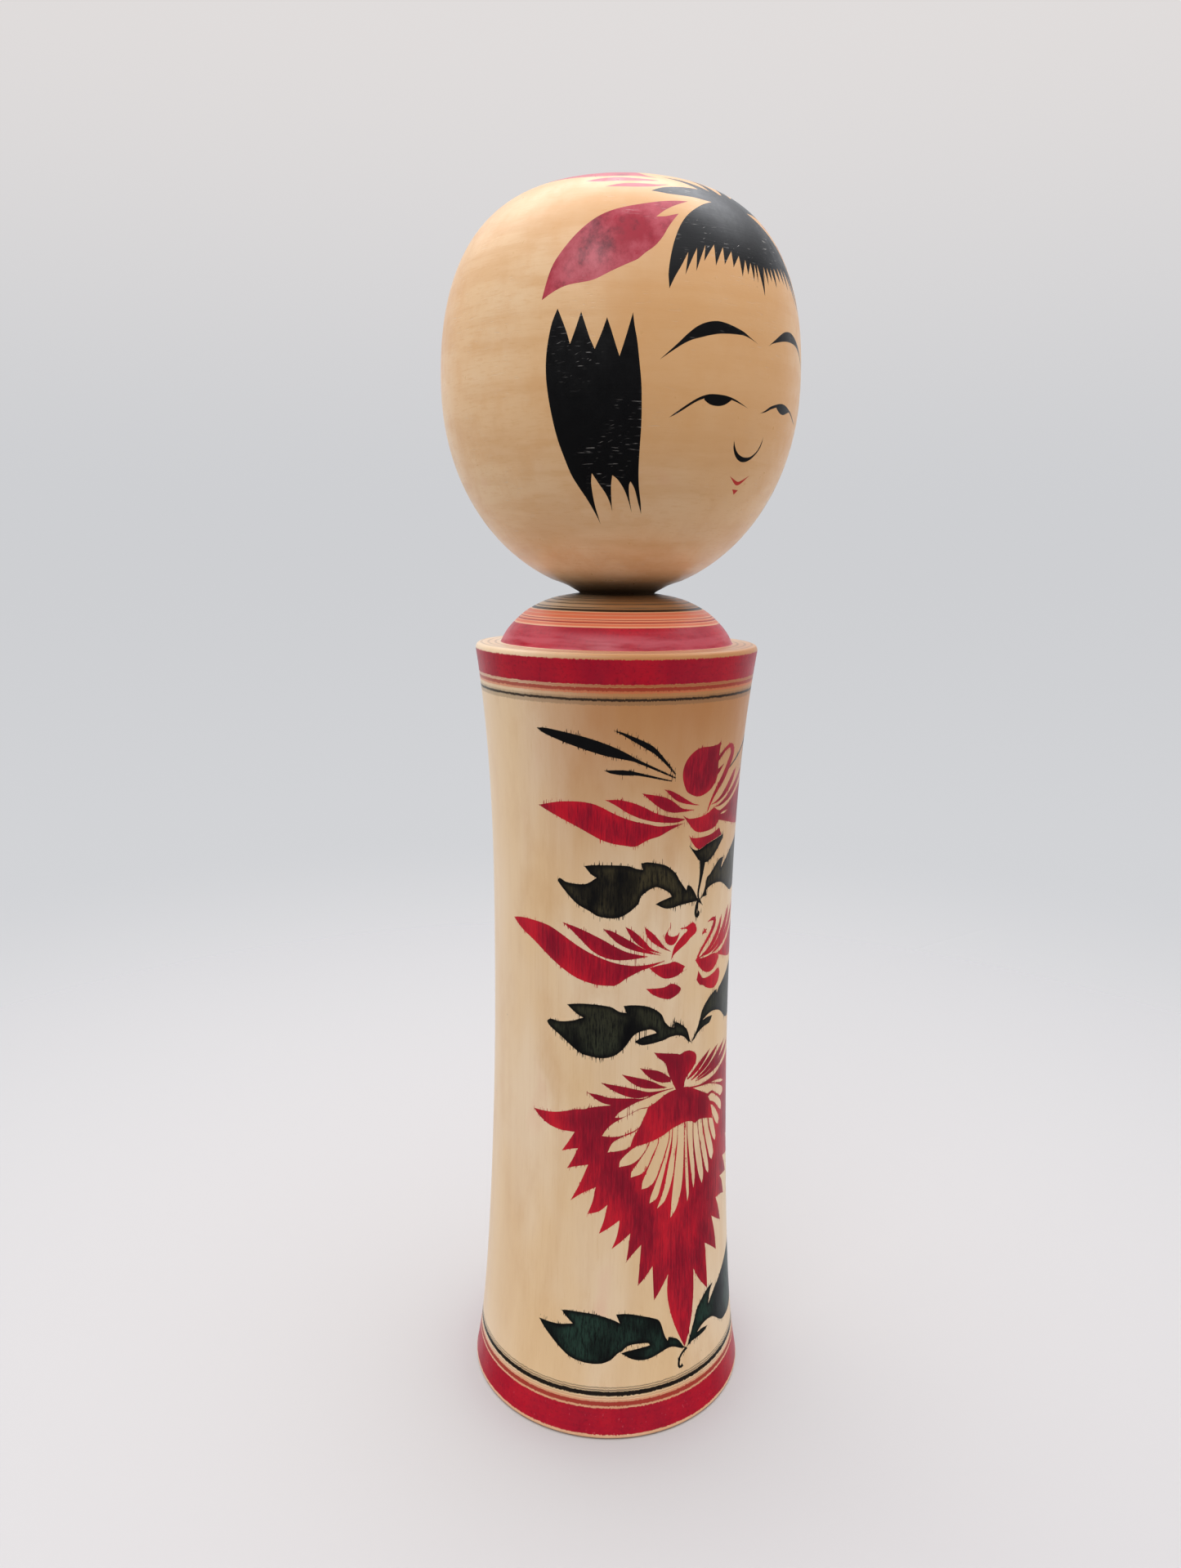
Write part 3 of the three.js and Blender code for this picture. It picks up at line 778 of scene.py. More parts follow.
def build_body():
    profile = Profile("body")
    radius, height = profile.points.T
    low = profile.where(0, 60, FOOT_TOP_Z)
    rim_index = int(np.argmax(height * (height < BODY_HEIGHT - DOME_RISE - 0.6)))
    high = profile.where(60, profile.length[rim_index], BODY_HEIGHT - DOME_RISE - 1.8)
    turning = Turning(profile)
    below = turning.strips(0.0, low)
    above = turning.strips(high, profile.length[-1])
    turning.join(below)
    turning.join(above)
    z_low, z_high = profile.at(low)[1], profile.at(high)[1]
    edge = np.pi * CHART_RADIUS
    columns = np.linspace(-edge, edge, COLUMNS + 1)
    rows = np.arange(z_low + GRID, z_high - GRID / 2, GRID)
    frame_points = [(u, z_low) for u in columns] + [(u, z_high) for u in columns]
    frame_points += [(side, z) for side in (-edge, edge) for z in rows[::3]]
    grid = [(u + (i % 2) * GRID / 2, z) for i, z in enumerate(rows) for u in columns[1:-1] if abs(u) < 58]
    grid += [(u, z) for z in rows[::3] for u in columns[1:-1:2] if abs(u) >= 58]
    layers = body_painting()
    border = np.vstack([stroke for _, strokes in layers for stroke in strokes])
    for reach in (-1.3, -0.5, 0.5, 1.3):
        grid += (border + [0, reach]).tolist()
    vertices, triangles, pigment = cut(layers, np.array(frame_points), [], np.array(grid))
    angle = vertices[:, 0] / CHART_RADIUS
    length = profile.where(low, high, vertices[:, 1])
    places = turn(angle, profile.at(length)[0], vertices[:, 1])
    fields = paint_fields(places, triangles, pigment, wicking=True)
    index = turning.add_points(angle, length)
    right = np.flatnonzero(vertices[:, 0] > edge - 1e-4)
    left = np.flatnonzero(vertices[:, 0] < -edge + 1e-4)
    index[right[np.argsort(vertices[right, 1])]] = index[left[np.argsort(vertices[left, 1])]]
    for row, z in ((below[-1], z_low), (above[0], z_high)):
        found = np.flatnonzero(np.abs(vertices[:, 1] - z) < 1e-5)
        column = np.rint((angle[found] + np.pi) / (2 * np.pi) * COLUMNS).astype(int) % COLUMNS
        index[found] = row[column]
    turning.add_faces(index[triangles], fields)
    top = float(profile.length[rim_index])
    socket = float(profile.length[int(np.argmax(height))])

    def unroll(around, length, middle):
        r, z = profile.at(length)[:2]
        side = np.stack([around / (2 * np.pi) + 0.5, 0.25 + 0.75 * z / BODY_HEIGHT], 1)
        inner = np.stack([around / (4 * np.pi) + 0.75, 0.23 * (profile.length[-1] - length) / 40], 1)
        flat = disc(around, r / radius.max(), 0.125)
        base = disc(around, r / radius.max(), 0.375)
        kinds = [middle < low - 2, middle < top, middle < socket]
        return np.select([k[:, None] for k in kinds], [base, side, flat], inner)

    return turning.mesh("painted_body", unroll)


def head_chart(profile):
    """Arc length from the crown, and the radius of the flat chart that keeps the head's angles true."""
    down = profile.length[-1] - profile.length[::-1]
    radius = profile.points[::-1, 0]
    fine = np.linspace(0.5, down[-1] - 12, 4000)
    growth = 1 / np.interp(fine, down, radius)
    area = np.concatenate([[0], np.cumsum((growth[1:] + growth[:-1]) / 2 * np.diff(fine))])
    return np.concatenate([[0], fine]), np.concatenate([[0], 0.5 * np.exp(area)])


def build_head():
    profile = Profile("head")
    total = profile.length[-1]
    down, chart = head_chart(profile)
    neck = profile.where(total * 0.15, total * 0.6, NECK_TOP_Z)
    reach = total - neck
    cap = CAP_REACH
    turning = Turning(profile)
    below = turning.strips(0.0, neck)
    turning.join(below)

    def flat(angle, distance):
        rho = np.interp(distance, down, chart)
        return np.stack([rho * np.sin(angle), -rho * np.cos(angle)], 1)

    def on_face(stroke):
        z = stroke[:, 1]
        wide = int(np.argmax(profile.points[:, 0]))
        distance = total - profile.where(neck, profile.length[wide], z)
        upper = z > profile.points[wide, 1]
        distance[upper] = total - np.interp(z[upper], profile.points[wide:, 1], profile.length[wide:])
        return flat(stroke[:, 0] / FACE_RADIUS + FACE_TURN, distance)

    def on_crown(stroke):
        angle = np.arctan2(stroke[:, 0], -stroke[:, 1]) + FACE_TURN
        return flat(angle, np.hypot(stroke[:, 0], stroke[:, 1]))

    layers = [(name, [on_crown(s) for s in strokes]) for name, strokes in crown_painting()]
    layers += [(name, [on_face(s) for s in strokes]) for name, strokes in face_painting()]
    fixed = []
    edges = []
    seam = []
    distances = [d for d in np.arange(GRID, reach - GRID / 2, GRID) if abs(d - cap) > GRID / 2]
    distances += [cap, reach]
    for distance in sorted(distances):
        ring_radius = profile.at(total - distance)[0]
        count = COLUMNS if distance == reach else max(6, round(2 * np.pi * ring_radius / GRID))
        angle = np.pi + 2 * np.pi * np.arange(count) / count
        start = len(fixed)
        fixed += flat(angle, np.full(count, distance)).tolist()
        if distance >= cap:
            seam.append(start)
        if distance == cap:
            edges += [(start + i, start + (i + 1) % count) for i in range(count)]
    edges += list(zip(seam, seam[1:]))
    vertices, triangles, pigment = cut(layers, np.array(fixed), edges, np.array([[0.0, 0.0]]))
    rho = np.linalg.norm(vertices, axis=1)
    keep = np.linalg.norm(vertices[triangles].mean(1), axis=1) < rho.max()
    triangles, pigment = triangles[keep], pigment[keep]
    angle = np.arctan2(vertices[:, 0], -vertices[:, 1])
    length = total - np.interp(rho, chart, down)
    places = turn(angle, *profile.at(length)[:2])
    fields = paint_fields(places, triangles, pigment, wicking=False)
    index = turning.add_points(angle, length)
    rim = np.flatnonzero(rho > np.interp(reach, down, chart) - 1e-4)
    column = np.rint((angle[rim] + np.pi) / (2 * np.pi) * COLUMNS).astype(int) % COLUMNS
    index[rim] = below[-1][column]
    turning.add_faces(index[triangles], fields)

    def unroll(around, length, middle):
        share = (total - length) / cap
        top = np.stack([0.25 + 0.24 * share * np.sin(around), 0.25 - 0.24 * share * np.cos(around)], 1)
        side = np.stack([around / (2 * np.pi) + 0.5, 0.5 + 0.5 * (length - neck) / (total - cap - neck)], 1)
        peg = np.stack([around / (4 * np.pi) + 0.75, 0.48 * length / neck], 1)
        kinds = [middle < neck, middle < total - cap]
        return np.select([k[:, None] for k in kinds], [peg, side], top)

    return turning.mesh("painted_head", unroll)


# ---------------------------------------------------------------------------------------------
# Materials
# ---------------------------------------------------------------------------------------------

def srgb(red, green, blue):
    """A colour as shown on screen, 0 to 255, as linear light."""
    shares = [c / 255 for c in (red, green, blue)]
    return [s / 12.92 if s <= 0.04045 else ((s + 0.055) / 1.055) ** 2.4 for s in shares] + [1.0]


class Field:
    """A value or colour that varies over a surface, with arithmetic."""

    def __init__(self, tree, socket):
        self.tree = tree
        self.socket = socket

    def __add__(self, other):
        return self.tree.math("ADD", self, other)

    def __sub__(self, other):
        return self.tree.math("SUBTRACT", self, other)

    def __rsub__(self, other):
        return self.tree.math("SUBTRACT", other, self)

    def __mul__(self, other):
        return self.tree.math("MULTIPLY", self, other)

    def __truediv__(self, other):
        return self.tree.math("DIVIDE", self, other)

    __radd__ = __add__
    __rmul__ = __mul__


class Tree:
    """Short calls that add nodes to one node tree."""

    def __init__(self, owner):
        owner.use_nodes = True
        self.nodes = owner.node_tree.nodes
        self.links = owner.node_tree.links
        self.nodes.clear()

    def add(self, kind, inputs, output=0, **settings):
        node = self.nodes.new("ShaderNode" + kind)
        for key, value in settings.items():
            setattr(node, key, value)
        for key, value in inputs.items():
            if isinstance(value, Field):
                self.links.new(value.socket, node.inputs[key])
            else:
                node.inputs[key].default_value = value
        return Field(self, node.outputs[output]) if node.outputs else None

    def math(self, operation, a, b=0.0):
        return self.add("Math", {0: a, 1: b}, operation=operation)

    def step(self, value, low, high):
        """0 below low, 1 above high, smooth between."""
        inputs = {"Value": value, "From Min": low, "From Max": high}
        return self.add("MapRange", inputs, interpolation_type="SMOOTHSTEP")

    def band(self, value, low, high, soft):
        return self.step(value, low - soft, low + soft) * (1.0 - self.step(value, high - soft, high + soft))

    def mix(self, share, a, b):
        """Colour a where share is 0, and b where it is 1."""
        return self.add("Mix", {0: share, 6: a, 7: b}, output=2, data_type="RGBA")

    def vector(self, x, y, z):
        return self.add("CombineXYZ", {"X": x, "Y": y, "Z": z})

    def noise(self, vector, scale, detail=2.0, roughness=0.5, distortion=0.0):
        inputs = {"Vector": vector, "Scale": scale, "Detail": detail, "Roughness": roughness,
                  "Distortion": distortion}
        return self.add("TexNoise", inputs)

    def spots(self, vector, scale, low, high):
        """1 inside small scattered spots."""
        distance = self.add("TexVoronoi", {"Vector": vector, "Scale": scale})
        return 1.0 - self.step(distance, low, high)

    def attribute(self, name):
        return self.add("Attribute", {}, output=2, attribute_name=name)

    def place(self):
        """Object coordinates in mm: x, y, z and the radius from the turning axis."""
        node = self.nodes.new("ShaderNodeTexCoord")
        split = self.nodes.new("ShaderNodeSeparateXYZ")
        self.links.new(node.outputs["Object"], split.inputs[0])
        x, y, z = (Field(self, split.outputs[i]) * (1 / MM) for i in range(3))
        return x, y, z, self.math("SQRT", x * x + y * y)

    def surface(self, shader, height, distance):
        """A skin whose fine relief is a height from 0 to 1, times a distance in metres."""
        normal = self.add("Bump", {"Height": height, "Distance": distance})
        skin = self.add("BsdfPrincipled", {**shader, "Normal": normal})
        self.add("OutputMaterial", {"Surface": skin})


BODY_WOOD = srgb(233, 197, 150)
BODY_WOOD_DARK = srgb(214, 168, 116)
BODY_WOOD_PALE = srgb(242, 219, 190)
# brown of patina and painted shade, below the head on the front
BODY_PATINA_AND_SHADE = srgb(188, 122, 64)
HEAD_WOOD = srgb(236, 192, 142)
HEAD_WOOD_DARK = srgb(220, 166, 110)
HEAD_WOOD_PALE = srgb(240, 206, 164)
HEAD_TAN = srgb(224, 166, 106)
SMUDGE = srgb(226, 160, 132)
SPECK = srgb(110, 70, 44)
CRIMSON = srgb(168, 0, 38)
SCARLET = srgb(204, 6, 36)
DEEP_RED = srgb(112, 0, 30)
ROSE = srgb(206, 92, 104)
LIP_RED = srgb(196, 44, 34)
ORANGE = srgb(220, 104, 66)
ORANGE_PALE = srgb(236, 168, 128)
RUST = srgb(168, 32, 24)
INK = srgb(16, 15, 16)
LEAF_GREEN = srgb(38, 64, 52)
OLIVE = srgb(84, 74, 46)
LINE_BLACK = srgb(34, 26, 20)
GREY_WASH = srgb(110, 92, 70)
# painted shade with some dirt, round the neck
NECK_SHADE_AND_DIRT = srgb(70, 50, 34)
WORN = srgb(214, 206, 198)

# Painted rings round the side: low and high edge above the floor, colour, strength
SIDE_RINGS = [
    (0.0, 1.3, ORANGE_PALE, 0.5), (1.35, 8.25, CRIMSON, 1.0), (8.3, 8.7, ORANGE, 0.45),
    (8.75, 9.95, RUST, 0.95), (10.05, 10.4, ORANGE, 0.6),
    (10.7, 11.0, RUST, 0.35), (11.45, 12.65, LINE_BLACK, 1.0), (12.85, 13.2, LINE_BLACK, 0.7),
    (13.5, 13.8, LINE_BLACK, 0.6),
]
# The same below the rim, as distances down from the step at the top of the side
TOP_RINGS = [
    (1.3, 6.95, CRIMSON, 1.0), (7.15, 7.35, RUST, 0.6), (7.55, 8.4, RUST, 0.85), (8.4, 8.9, ORANGE, 0.6),
    (9.6, 10.1, GREY_WASH, 0.35), (10.1, 10.7, LINE_BLACK, 0.95), (10.7, 11.6, GREY_WASH, 0.4),
]
# Painted rings on the dome: inner and outer radius
DOME_RINGS = [
    (21.3, 25.4, ORANGE_PALE, 1.0), (21.5, 22.25, ORANGE, 0.85), (22.3, 22.4, RUST, 0.6),
    (22.5, 23.3, ORANGE, 0.9), (23.55, 23.8, RUST, 0.9), (23.95, 24.15, ORANGE, 0.9),
    (24.2, 24.5, RUST, 1.0), (24.65, 25.15, ORANGE, 0.85), (25.45, 29.4, CRIMSON, 1.0),
    (20.3, 21.15, LINE_BLACK, 0.95),
]
DOME_LINES = (9.0, 20.3, 1.75)     # fine grey lines between two radii, and their spacing


def wood_colour(tree, vectors, palette, streak_share, fibre_share, figure_share):
    """Pale close-grained wood: soft clouds, long streaks, fine fibres, a faint figure and a few specks."""
    plain, dark, pale = palette
    fibres = tree.noise(vectors["grain"], 2.2, detail=4, roughness=0.7)
    streaks = tree.noise(vectors["grain"], 0.35, detail=3)
    cloud = tree.noise(vectors["plain"], 0.035, detail=3)
    mottle = tree.noise(vectors["plain"], 0.10, detail=5, roughness=0.6)
    colour = tree.mix(tree.step(cloud, 0.38, 0.66) * 0.6, plain, pale)
    colour = tree.mix(tree.step(mottle, 0.45, 0.75) * 0.45, colour, dark)
    colour = tree.mix(tree.step(streaks, 0.42, 0.66) * streak_share, colour, dark)
    colour = tree.mix(tree.step(fibres, 0.50, 0.72) * fibre_share, colour, dark)
    figure = tree.noise(vectors["figure"], 1.0, detail=2, distortion=0.8)
    rings = tree.step(tree.math("SINE", figure * 70.0), 0.2, 1.0)
    colour = tree.mix(rings * figure_share, colour, dark)
    stains = tree.step(tree.noise(vectors["plain"], 0.07, detail=2), 0.66, 0.80)
    colour = tree.mix(stains * 0.35, colour, SMUDGE)
    specks = tree.spots(vectors["speck"], 0.10, 0.015, 0.035)
    return tree.mix(specks * 0.5, colour, SPECK), fibres


def scratches(tree, vector, low=0.70, high=0.76):
    """Thin short lines that follow a stretched vector."""
    fine = tree.noise(vector, 1.0, detail=1)
    return tree.step(fine, low, high)


def red_paint(tree, vectors, inner):
    """Red dye: scarlet where it ran thin at the edges and along fibres, darker where it pooled."""
    pool = tree.noise(vectors["plain"], 0.09, detail=3)
    streak = 0.5 * tree.noise(vectors["dyed"], 2.4, detail=4, roughness=0.75)
    streak = streak + 0.5 * tree.noise(vectors["grain"], 2.4, detail=3, roughness=0.75)
    depth = tree.step(inner, 0.1, 2.5)
    colour = tree.mix(tree.step(pool * 0.8 + streak * 0.3 + depth * 0.06, 0.42, 0.70), SCARLET, CRIMSON)
    deep = tree.step(streak * 0.8 + pool * 0.4, 0.50, 0.72) * (0.5 + 0.25 * depth)
    return tree.mix(deep, colour, DEEP_RED)


def ring_paint(tree, vectors):
    """Red dye laid on while the wood turned: even, with faint lines along the turning."""
    swept = tree.noise(vectors["turned"], 1.0, detail=3, roughness=0.6)
    cloud = tree.noise(vectors["plain"], 0.12, detail=3)
    grit = tree.noise(vectors["speck"], 1.3, detail=3, roughness=0.7)
    colour = tree.mix(tree.step(cloud * 0.6 + swept * 0.4, 0.36, 0.66) * 0.75, CRIMSON, SCARLET)
    colour = tree.mix(tree.step(swept, 0.45, 0.75) * 0.25, colour, DEEP_RED)
    colour = tree.mix(tree.step(grit, 0.52, 0.70) * 0.45, colour, DEEP_RED)
    return tree.mix(tree.step(grit, 0.46, 0.30) * 0.35, colour, SCARLET)


def dark_paint(tree, vectors, inner, tint, share):
    """Black dye thinned with green or brown, which shows inside a stroke and is streaked by fibres."""
    streak = tree.noise(vectors["dyed"], 2.6, detail=4, roughness=0.8)
    cloud = tree.noise(vectors["plain"], 0.10, detail=3)
    thin = tree.step(inner, 0.0, 1.6) * tree.step(cloud, 0.30, 0.54) * tree.step(streak, 0.34, 0.60)
    return tree.mix(thin * share, INK, tint)


def cover(tree, name, run=None):
    """1 under one pigment; along the body's grain it has run out and dried back in hairs."""
    if run is None:
        return tree.step(tree.attribute(name), -0.04, 0.04)
    return tree.step(tree.attribute(name + "_wick") + run, -0.1, 0.1)


def body_material():
    material = bpy.data.materials.new("body_wood_painted")
    tree = Tree(material)
    x, y, z, radius = tree.place()
    vectors = {
        "plain": tree.vector(x, y, z * 0.45),
        "grain": tree.vector(x, y, z * 0.03),
        "dyed": tree.vector(x, y, z * 0.12),
        "hair": tree.vector(x * 4.5, y * 4.5, z * 0.2),
        "turned": tree.vector(radius * 2.0, x * 0.06 + y * 0.06, z * 1.6),
        "figure": tree.vector((x + 90.0) * 0.011, (y - 25.0) * 0.011, z * 0.0016),
        "speck": tree.vector(x, y, z),
    }
    wood, fibres = wood_colour(tree, vectors, (BODY_WOOD, BODY_WOOD_DARK, BODY_WOOD_PALE), 0.1, 0.2, 0.13)
    # painted sheen: the body's wood turns paler along the side that lies towards -x and +y
    limb_sheen = tree.step((x * -0.79 + y * 0.62) / radius, 0.5, 1.0)
    wood = tree.mix(limb_sheen * 0.35, wood, BODY_WOOD_PALE)
    # patina with painted shade: darker brown towards the top of the side, on the front only
    aged_and_shaded = tree.step(z + tree.noise(vectors["plain"], 0.05, detail=3) * 30.0, 145.0, 208.0)
    wood = tree.mix(aged_and_shaded * tree.step(y / radius * -1.0, 0.0, 0.9) * 0.9, wood, BODY_PATINA_AND_SHADE)
    hair = tree.noise(vectors["hair"], 1.0, detail=1)
    thirst = tree.step(tree.noise(vectors["speck"], 0.16), 0.35, 0.65)
    run = tree.step(hair, 0.54, 0.74) * (0.2 + 0.8 * thirst)
    red = cover(tree, "red", run * 1.3 - 0.06)
    dark = cover(tree, "dark", run * 1.6 - 0.06)
    colour = tree.mix(red, wood, red_paint(tree, vectors, tree.attribute("red")))
    tint = tree.mix(tree.step(z, 60.0, 150.0), LEAF_GREEN, OLIVE)
    share = (1.0 - 0.3 * tree.step(z, 40.0, 90.0)) * (1.0 - tree.step(z, 156.0, 164.0))
    black = dark_paint(tree, vectors, tree.attribute("dark"), tint, share)
    colour = tree.mix(dark, colour, black)
    band_red = ring_paint(tree, vectors)
    level = z + (hair - 0.5) * 0.8
    step_z = BODY_HEIGHT - DOME_RISE
    on_side = 1.0 - tree.step(z, step_z - 0.4, step_z - 0.2)
    on_dome = tree.step(z, step_z + 0.05, step_z + 0.15)

    def lay(colour, share, paint):
        return tree.mix(share, colour, band_red if paint is CRIMSON else paint)

    for low, high, paint, strength in SIDE_RINGS:
        colour = lay(colour, tree.band(level, low, high, 0.08) * on_side * strength, paint)
    for low, high, paint, strength in TOP_RINGS:
        share = tree.band(step_z - level, low, high, 0.08) * on_side * strength
        colour = lay(colour, share, paint)
    swept = radius + (tree.noise(vectors["plain"], 0.3) - 0.5) * 0.06
    start, end, spacing = DOME_LINES
    lines = tree.step(tree.math("SINE", radius * (2 * math.pi / spacing)), 0.2, 0.9)
    broken = tree.noise(tree.vector(x * 0.2, y * 0.2, radius * 2.0), 1.0, detail=2)
    share = tree.band(radius, start, end, 0.3) * (0.2 + 1.3 * lines * broken) * on_dome
    colour = tree.mix(share, colour, GREY_WASH)
    for inner, outer, paint, strength in DOME_RINGS:
        colour = lay(colour, tree.band(swept, inner, outer, 0.07) * on_dome * strength, paint)
    # painted sheen: pale rose clouds on the crimson near the dome's outer edge
    dome_sheen = tree.noise(tree.vector(x * 0.08, y * 0.08, radius * 1.1), 1.0, detail=3)
    dome_sheen = tree.step(dome_sheen, 0.3, 0.62) * tree.band(radius, 27.0, 29.6, 1.2)
    colour = tree.mix(dome_sheen * on_dome * 0.65, colour, ROSE)
    ledge = tree.band(z, step_z - 0.25, step_z + 0.1, 0.1) * tree.step(radius, 28.0, 29.0)
    colour = tree.mix(ledge * 0.2, colour, BODY_WOOD_PALE)
    colour = tree.mix(ledge * lines * broken * 0.7, colour, GREY_WASH)
    # painted shade with some dirt: the dome darkens round the neck, under the head
    colour = tree.mix(1.0 - tree.step(radius, 9.6, 12.0 + 4.0 * (1.0 - on_dome)), colour, NECK_SHADE_AND_DIRT)
    worn = scratches(tree, tree.vector(x * 1.6, y * 1.6, z * 0.9)) * (1.0 - tree.step(z, 5.0, 9.0))
    colour = tree.mix(worn * 0.4, colour, ROSE)
    gloss = tree.noise(vectors["plain"], 0.5, detail=3)
    height = fibres * 0.6 + tree.noise(vectors["plain"], 0.8, detail=3) * 0.4
    shader = {"Base Color": colour, "Roughness": 0.28 + 0.18 * gloss, "IOR": 1.45}
    tree.surface(shader, height, 0.00004)
    return material


def head_material():
    material = bpy.data.materials.new("head_wood_painted")
    tree = Tree(material)
    x, y, z, radius = tree.place()
    vectors = {
        "plain": tree.vector(x, y, z * 0.8),
        "grain": tree.vector(x * 0.12, y * 0.12, z * 0.9),
        "figure": tree.vector((x + 70.0) * 0.010, (y + 40.0) * 0.010, z * 0.003),
        "speck": tree.vector(x, y, z),
    }
    wood, fibres = wood_colour(tree, vectors, (HEAD_WOOD, HEAD_WOOD_DARK, HEAD_WOOD_PALE), 0.42, 0.42, 0.08)
    mottle = tree.noise(vectors["plain"], 0.16, detail=5, roughness=0.6)
    wood = tree.mix(tree.step(mottle, 0.48, 0.72) * 0.3, wood, HEAD_TAN)
    dots = tree.spots(vectors["speck"], 0.085, 0.02, 0.045)
    wood = tree.mix(dots * 0.6, wood, SPECK)
    # the front of the head, from the chin up to the brows, is mixed towards a deeper tan
    front_tan = tree.step(y / radius * -1.0 + tree.noise(vectors["plain"], 0.05, detail=3) - 0.5, 0.35, 1.0)
    wood = tree.mix(front_tan * tree.step(z, 222.0, 250.0) * 0.75, wood, HEAD_TAN)
    # painted shade with some dirt: the head darkens towards its neck
    wood = tree.mix(0.96 - 0.96 * tree.step(z, 211.6, 218.0), wood, NECK_SHADE_AND_DIRT)
    bruise = tree.noise(vectors["plain"], 0.16, detail=6, roughness=0.75)
    ribbon = tree.mix(tree.step(bruise, 0.30, 0.52), DEEP_RED, CRIMSON)
    # painted sheen: pale rose patches on the red of the head
    ribbon_sheen = tree.noise(vectors["plain"], 0.09, detail=3)
    ribbon = tree.mix(tree.step(ribbon_sheen * 0.6 + bruise * 0.4, 0.40, 0.58) * 0.72, ribbon, ROSE)
    ribbon = tree.mix(1.0 - tree.step(z, 246.0, 250.0), ribbon, LIP_RED)
    colour = tree.mix(cover(tree, "red"), wood, ribbon)
    inked = cover(tree, "dark")
    colour = tree.mix(inked, colour, INK)
    level = scratches(tree, tree.vector(x * 0.35, y * 0.35, z * 3.4), 0.66, 0.76)
    slanted = scratches(tree, tree.vector(x * 0.6 + z * 0.4, y * 0.3, z * 3.0 - x * 1.5), 0.72, 0.80)
    patch = tree.step(tree.noise(vectors["plain"], 0.08, detail=2), 0.45, 0.58)
    worn = tree.math("MAXIMUM", level, slanted) * patch
    rubbed = tree.step(z, 280.0, 286.0)
    colour = tree.mix(worn * (0.14 + 0.12 * inked + 0.2 * inked * rubbed), colour, WORN)
    gloss = tree.noise(vectors["plain"], 0.4, detail=5, roughness=0.65)
    turned_rings = tree.noise(tree.vector(radius * 0.1, 0.0, z * 3.0), 1.0, detail=2)
    height = turned_rings * 0.4 + tree.noise(vectors["plain"], 0.7, detail=3) * 0.6 - worn * 0.6
    shader = {"Base Color": colour, "Roughness": 0.16 + 0.36 * gloss, "IOR": 1.47}
    tree.surface(shader, height, 0.00003)
    return material


# ---------------------------------------------------------------------------------------------
# Pieces, stage, light and camera
# ---------------------------------------------------------------------------------------------

def place_piece(mesh, material, body, node):
    piece = bpy.data.objects.new(mesh.name, mesh)
    bpy.context.scene.collection.objects.link(piece)
    mesh.materials.append(material)
    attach(piece, body)
    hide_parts(node)


def add_floor(radius=3.0, fade_from=0.08, fade_to=0.6):
    """A pale disc that melts into the background with distance."""
    count = 96
    angle = 2 * np.pi * np.arange(count) / count
    ring = np.stack([radius * np.cos(angle), radius * np.sin(angle), np.zeros(count)], 1)
    mesh = bpy.data.meshes.new("floor")
    mesh.from_pydata(ring.tolist(), [], [list(range(count))])
    material = bpy.data.materials.new("floor_paper")
    tree = Tree(material)
    x, y, _, distance = tree.place()
    paper = tree.add("BsdfPrincipled", {"Base Color": FLOOR_COLOUR, "Roughness": 0.7})
    gone = tree.add("BsdfTransparent", {})
    share = tree.step(distance * MM, fade_from, fade_to)
    mixed = tree.add("MixShader", {0: share, 1: paper, 2: gone})
    tree.add("OutputMaterial", {"Surface": mixed})
    mesh.materials.append(material)
    floor = bpy.data.objects.new("floor", mesh)
    bpy.context.scene.collection.objects.link(floor)
    floor.visible_glossy = False


FLOOR_COLOUR = srgb(185, 181, 179)
BACK_LOW = srgb(211, 212, 215)
BACK_MIDDLE = srgb(206, 207, 210)
BACK_HIGH = srgb(225, 221, 220)
VIEW_SIDE = 38.0              # how far to the doll's right the camera stands, in degrees


def add_world():
    """A plain studio tent, open towards the camera: what the camera sees, and the light it gives."""
    world = bpy.data.worlds.new("tent")
    bpy.context.scene.world = world
    tree = Tree(world)
    node = tree.nodes.new("ShaderNodeTexCoord")
    split = tree.nodes.new("ShaderNodeSeparateXYZ")
    tree.links.new(node.outputs["Generated"], split.inputs[0])
    east, north, up = (Field(tree, split.outputs[i]) for i in range(3))
    seen = tree.mix(tree.step(up, -0.30, 0.0), BACK_LOW, BACK_MIDDLE)
    seen = tree.mix(tree.step(up, 0.02, 0.42), seen, BACK_HIGH)
    side = math.radians(VIEW_SIDE)
    frontal = east * -math.sin(side) + north * -math.cos(side)
    ceiling = tree.step(up, 0.45, 0.85)
    opening = tree.step(frontal, 0.0, 0.8) * (1.0 - ceiling)
    leftward = east * -math.cos(side) + north * math.sin(side)
    wall = WALL_LIGHT * (1.0 - 0.05 * leftward)
    strength = wall * (1.0 - opening * 0.7) + CEILING_LIGHT * ceiling
    shade = tree.step(frontal, -0.95, -0.15) * (1.0 - ceiling)
    panel = tree.step(up, 0.60, 0.86) * (1.0 - tree.step(frontal, -0.35, 0.05))
    panel = panel * (1.0 - 0.6 * tree.step(leftward, 0.05, 0.5))
    mirrored = WALL_MIRRORED * (1.0 - shade * 0.96) + CEILING_MIRRORED * panel
    path = tree.nodes.new("ShaderNodeLightPath")
    camera_ray = Field(tree, path.outputs["Is Camera Ray"])
    glossy_ray = Field(tree, path.outputs["Is Glossy Ray"])
    shown = tree.add("Background", {"Color": seen, "Strength": 1.0})
    lit = tree.add("Background", {"Color": srgb(248, 250, 255), "Strength": strength})
    reflected = tree.add("Background", {"Color": srgb(248, 250, 255), "Strength": mirrored})
    light = tree.add("MixShader", {0: glossy_ray, 1: lit, 2: reflected})
    tree.add("OutputWorld", {"Surface": tree.add("MixShader", {0: camera_ray, 1: light, 2: shown})})


WALL_LIGHT = 0.94
CEILING_LIGHT = 1.42
WALL_MIRRORED = 0.8
CEILING_MIRRORED = 3.4


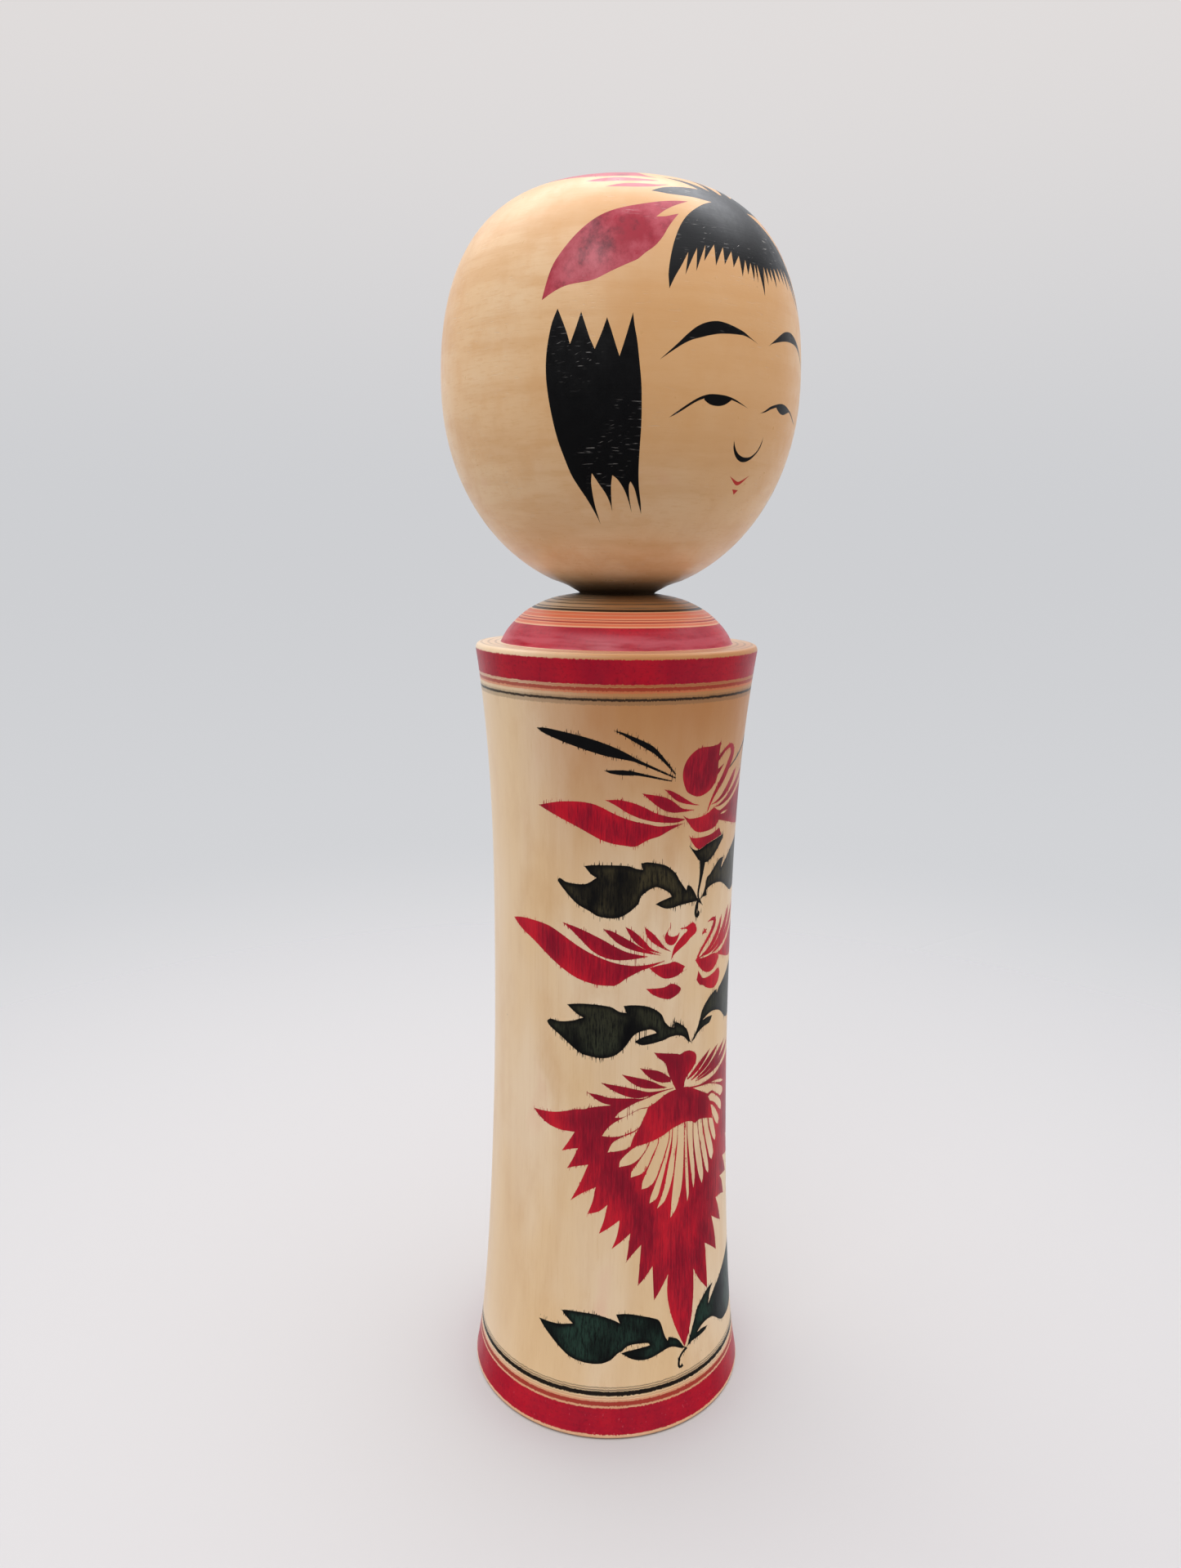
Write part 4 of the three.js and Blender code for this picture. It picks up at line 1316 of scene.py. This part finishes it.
def add_light(name, azimuth, elevation, distance, size, power):
    """A soft square lamp that faces the middle of the doll."""
    data = bpy.data.lights.new(name, "AREA")
    data.size = size
    data.energy = power
    lamp = bpy.data.objects.new(name, data)
    a, e = math.radians(azimuth), math.radians(elevation)
    middle = HEAD_HEIGHT * MM * 0.55
    away = np.array([math.sin(a) * math.cos(e), -math.cos(a) * math.cos(e), math.sin(e)])
    lamp.location = away * distance + [0, 0, middle]
    right = np.cross([0, 0, 1], away)
    right /= np.linalg.norm(right)
    up = np.cross(away, right)
    lamp.rotation_euler = Matrix(np.stack([right, up, away], 1).tolist()).to_euler()
    bpy.context.scene.collection.objects.link(lamp)


CAMERA_BACK = 285.64          # from the turning axis
CAMERA_HEIGHT = 221.36        # above the floor
AIM_ASIDE = -1.223            # degrees off the turning axis
AIM_DOWN = 11.602             # degrees below level
ROLL = 0.594                  # degrees
LENS = 34.58                  # for a sensor 36 mm wide


def add_camera():
    """The view from the doll's right, from a little above its shoulders."""
    heading, pitch, roll = (math.radians(v) for v in (VIEW_SIDE + AIM_ASIDE, AIM_DOWN, ROLL))
    side = math.radians(VIEW_SIDE)
    back, height = CAMERA_BACK * MM, CAMERA_HEIGHT * MM
    forward = np.array([math.sin(heading) * math.cos(pitch), math.cos(heading) * math.cos(pitch),
                        -math.sin(pitch)])
    level = np.array([math.cos(heading), -math.sin(heading), 0])
    upright = np.cross(level, forward)
    right = math.cos(roll) * level + math.sin(roll) * upright
    up = math.cos(roll) * upright - math.sin(roll) * level
    data = bpy.data.cameras.new("camera")
    data.sensor_fit = "HORIZONTAL"
    data.sensor_width = 36
    data.lens = LENS
    camera = bpy.data.objects.new("camera", data)
    turn_matrix = Matrix(np.stack([right, up, -forward], 1).tolist()).to_4x4()
    turn_matrix.translation = (-back * math.sin(side), -back * math.cos(side), height)
    camera.matrix_world = turn_matrix
    bpy.context.scene.collection.objects.link(camera)
    bpy.context.scene.camera = camera


place_piece(build_body(), body_material(), "body", "body")
place_piece(build_head(), head_material(), "head", "head")
add_floor()
add_world()
add_light("back_left", -167, 52, 0.7, 0.35, 0.4)
add_light("front_left", -62, 48, 0.7, 0.26, 0.7)
add_camera()
bpy.context.scene.view_settings.view_transform = "Standard"
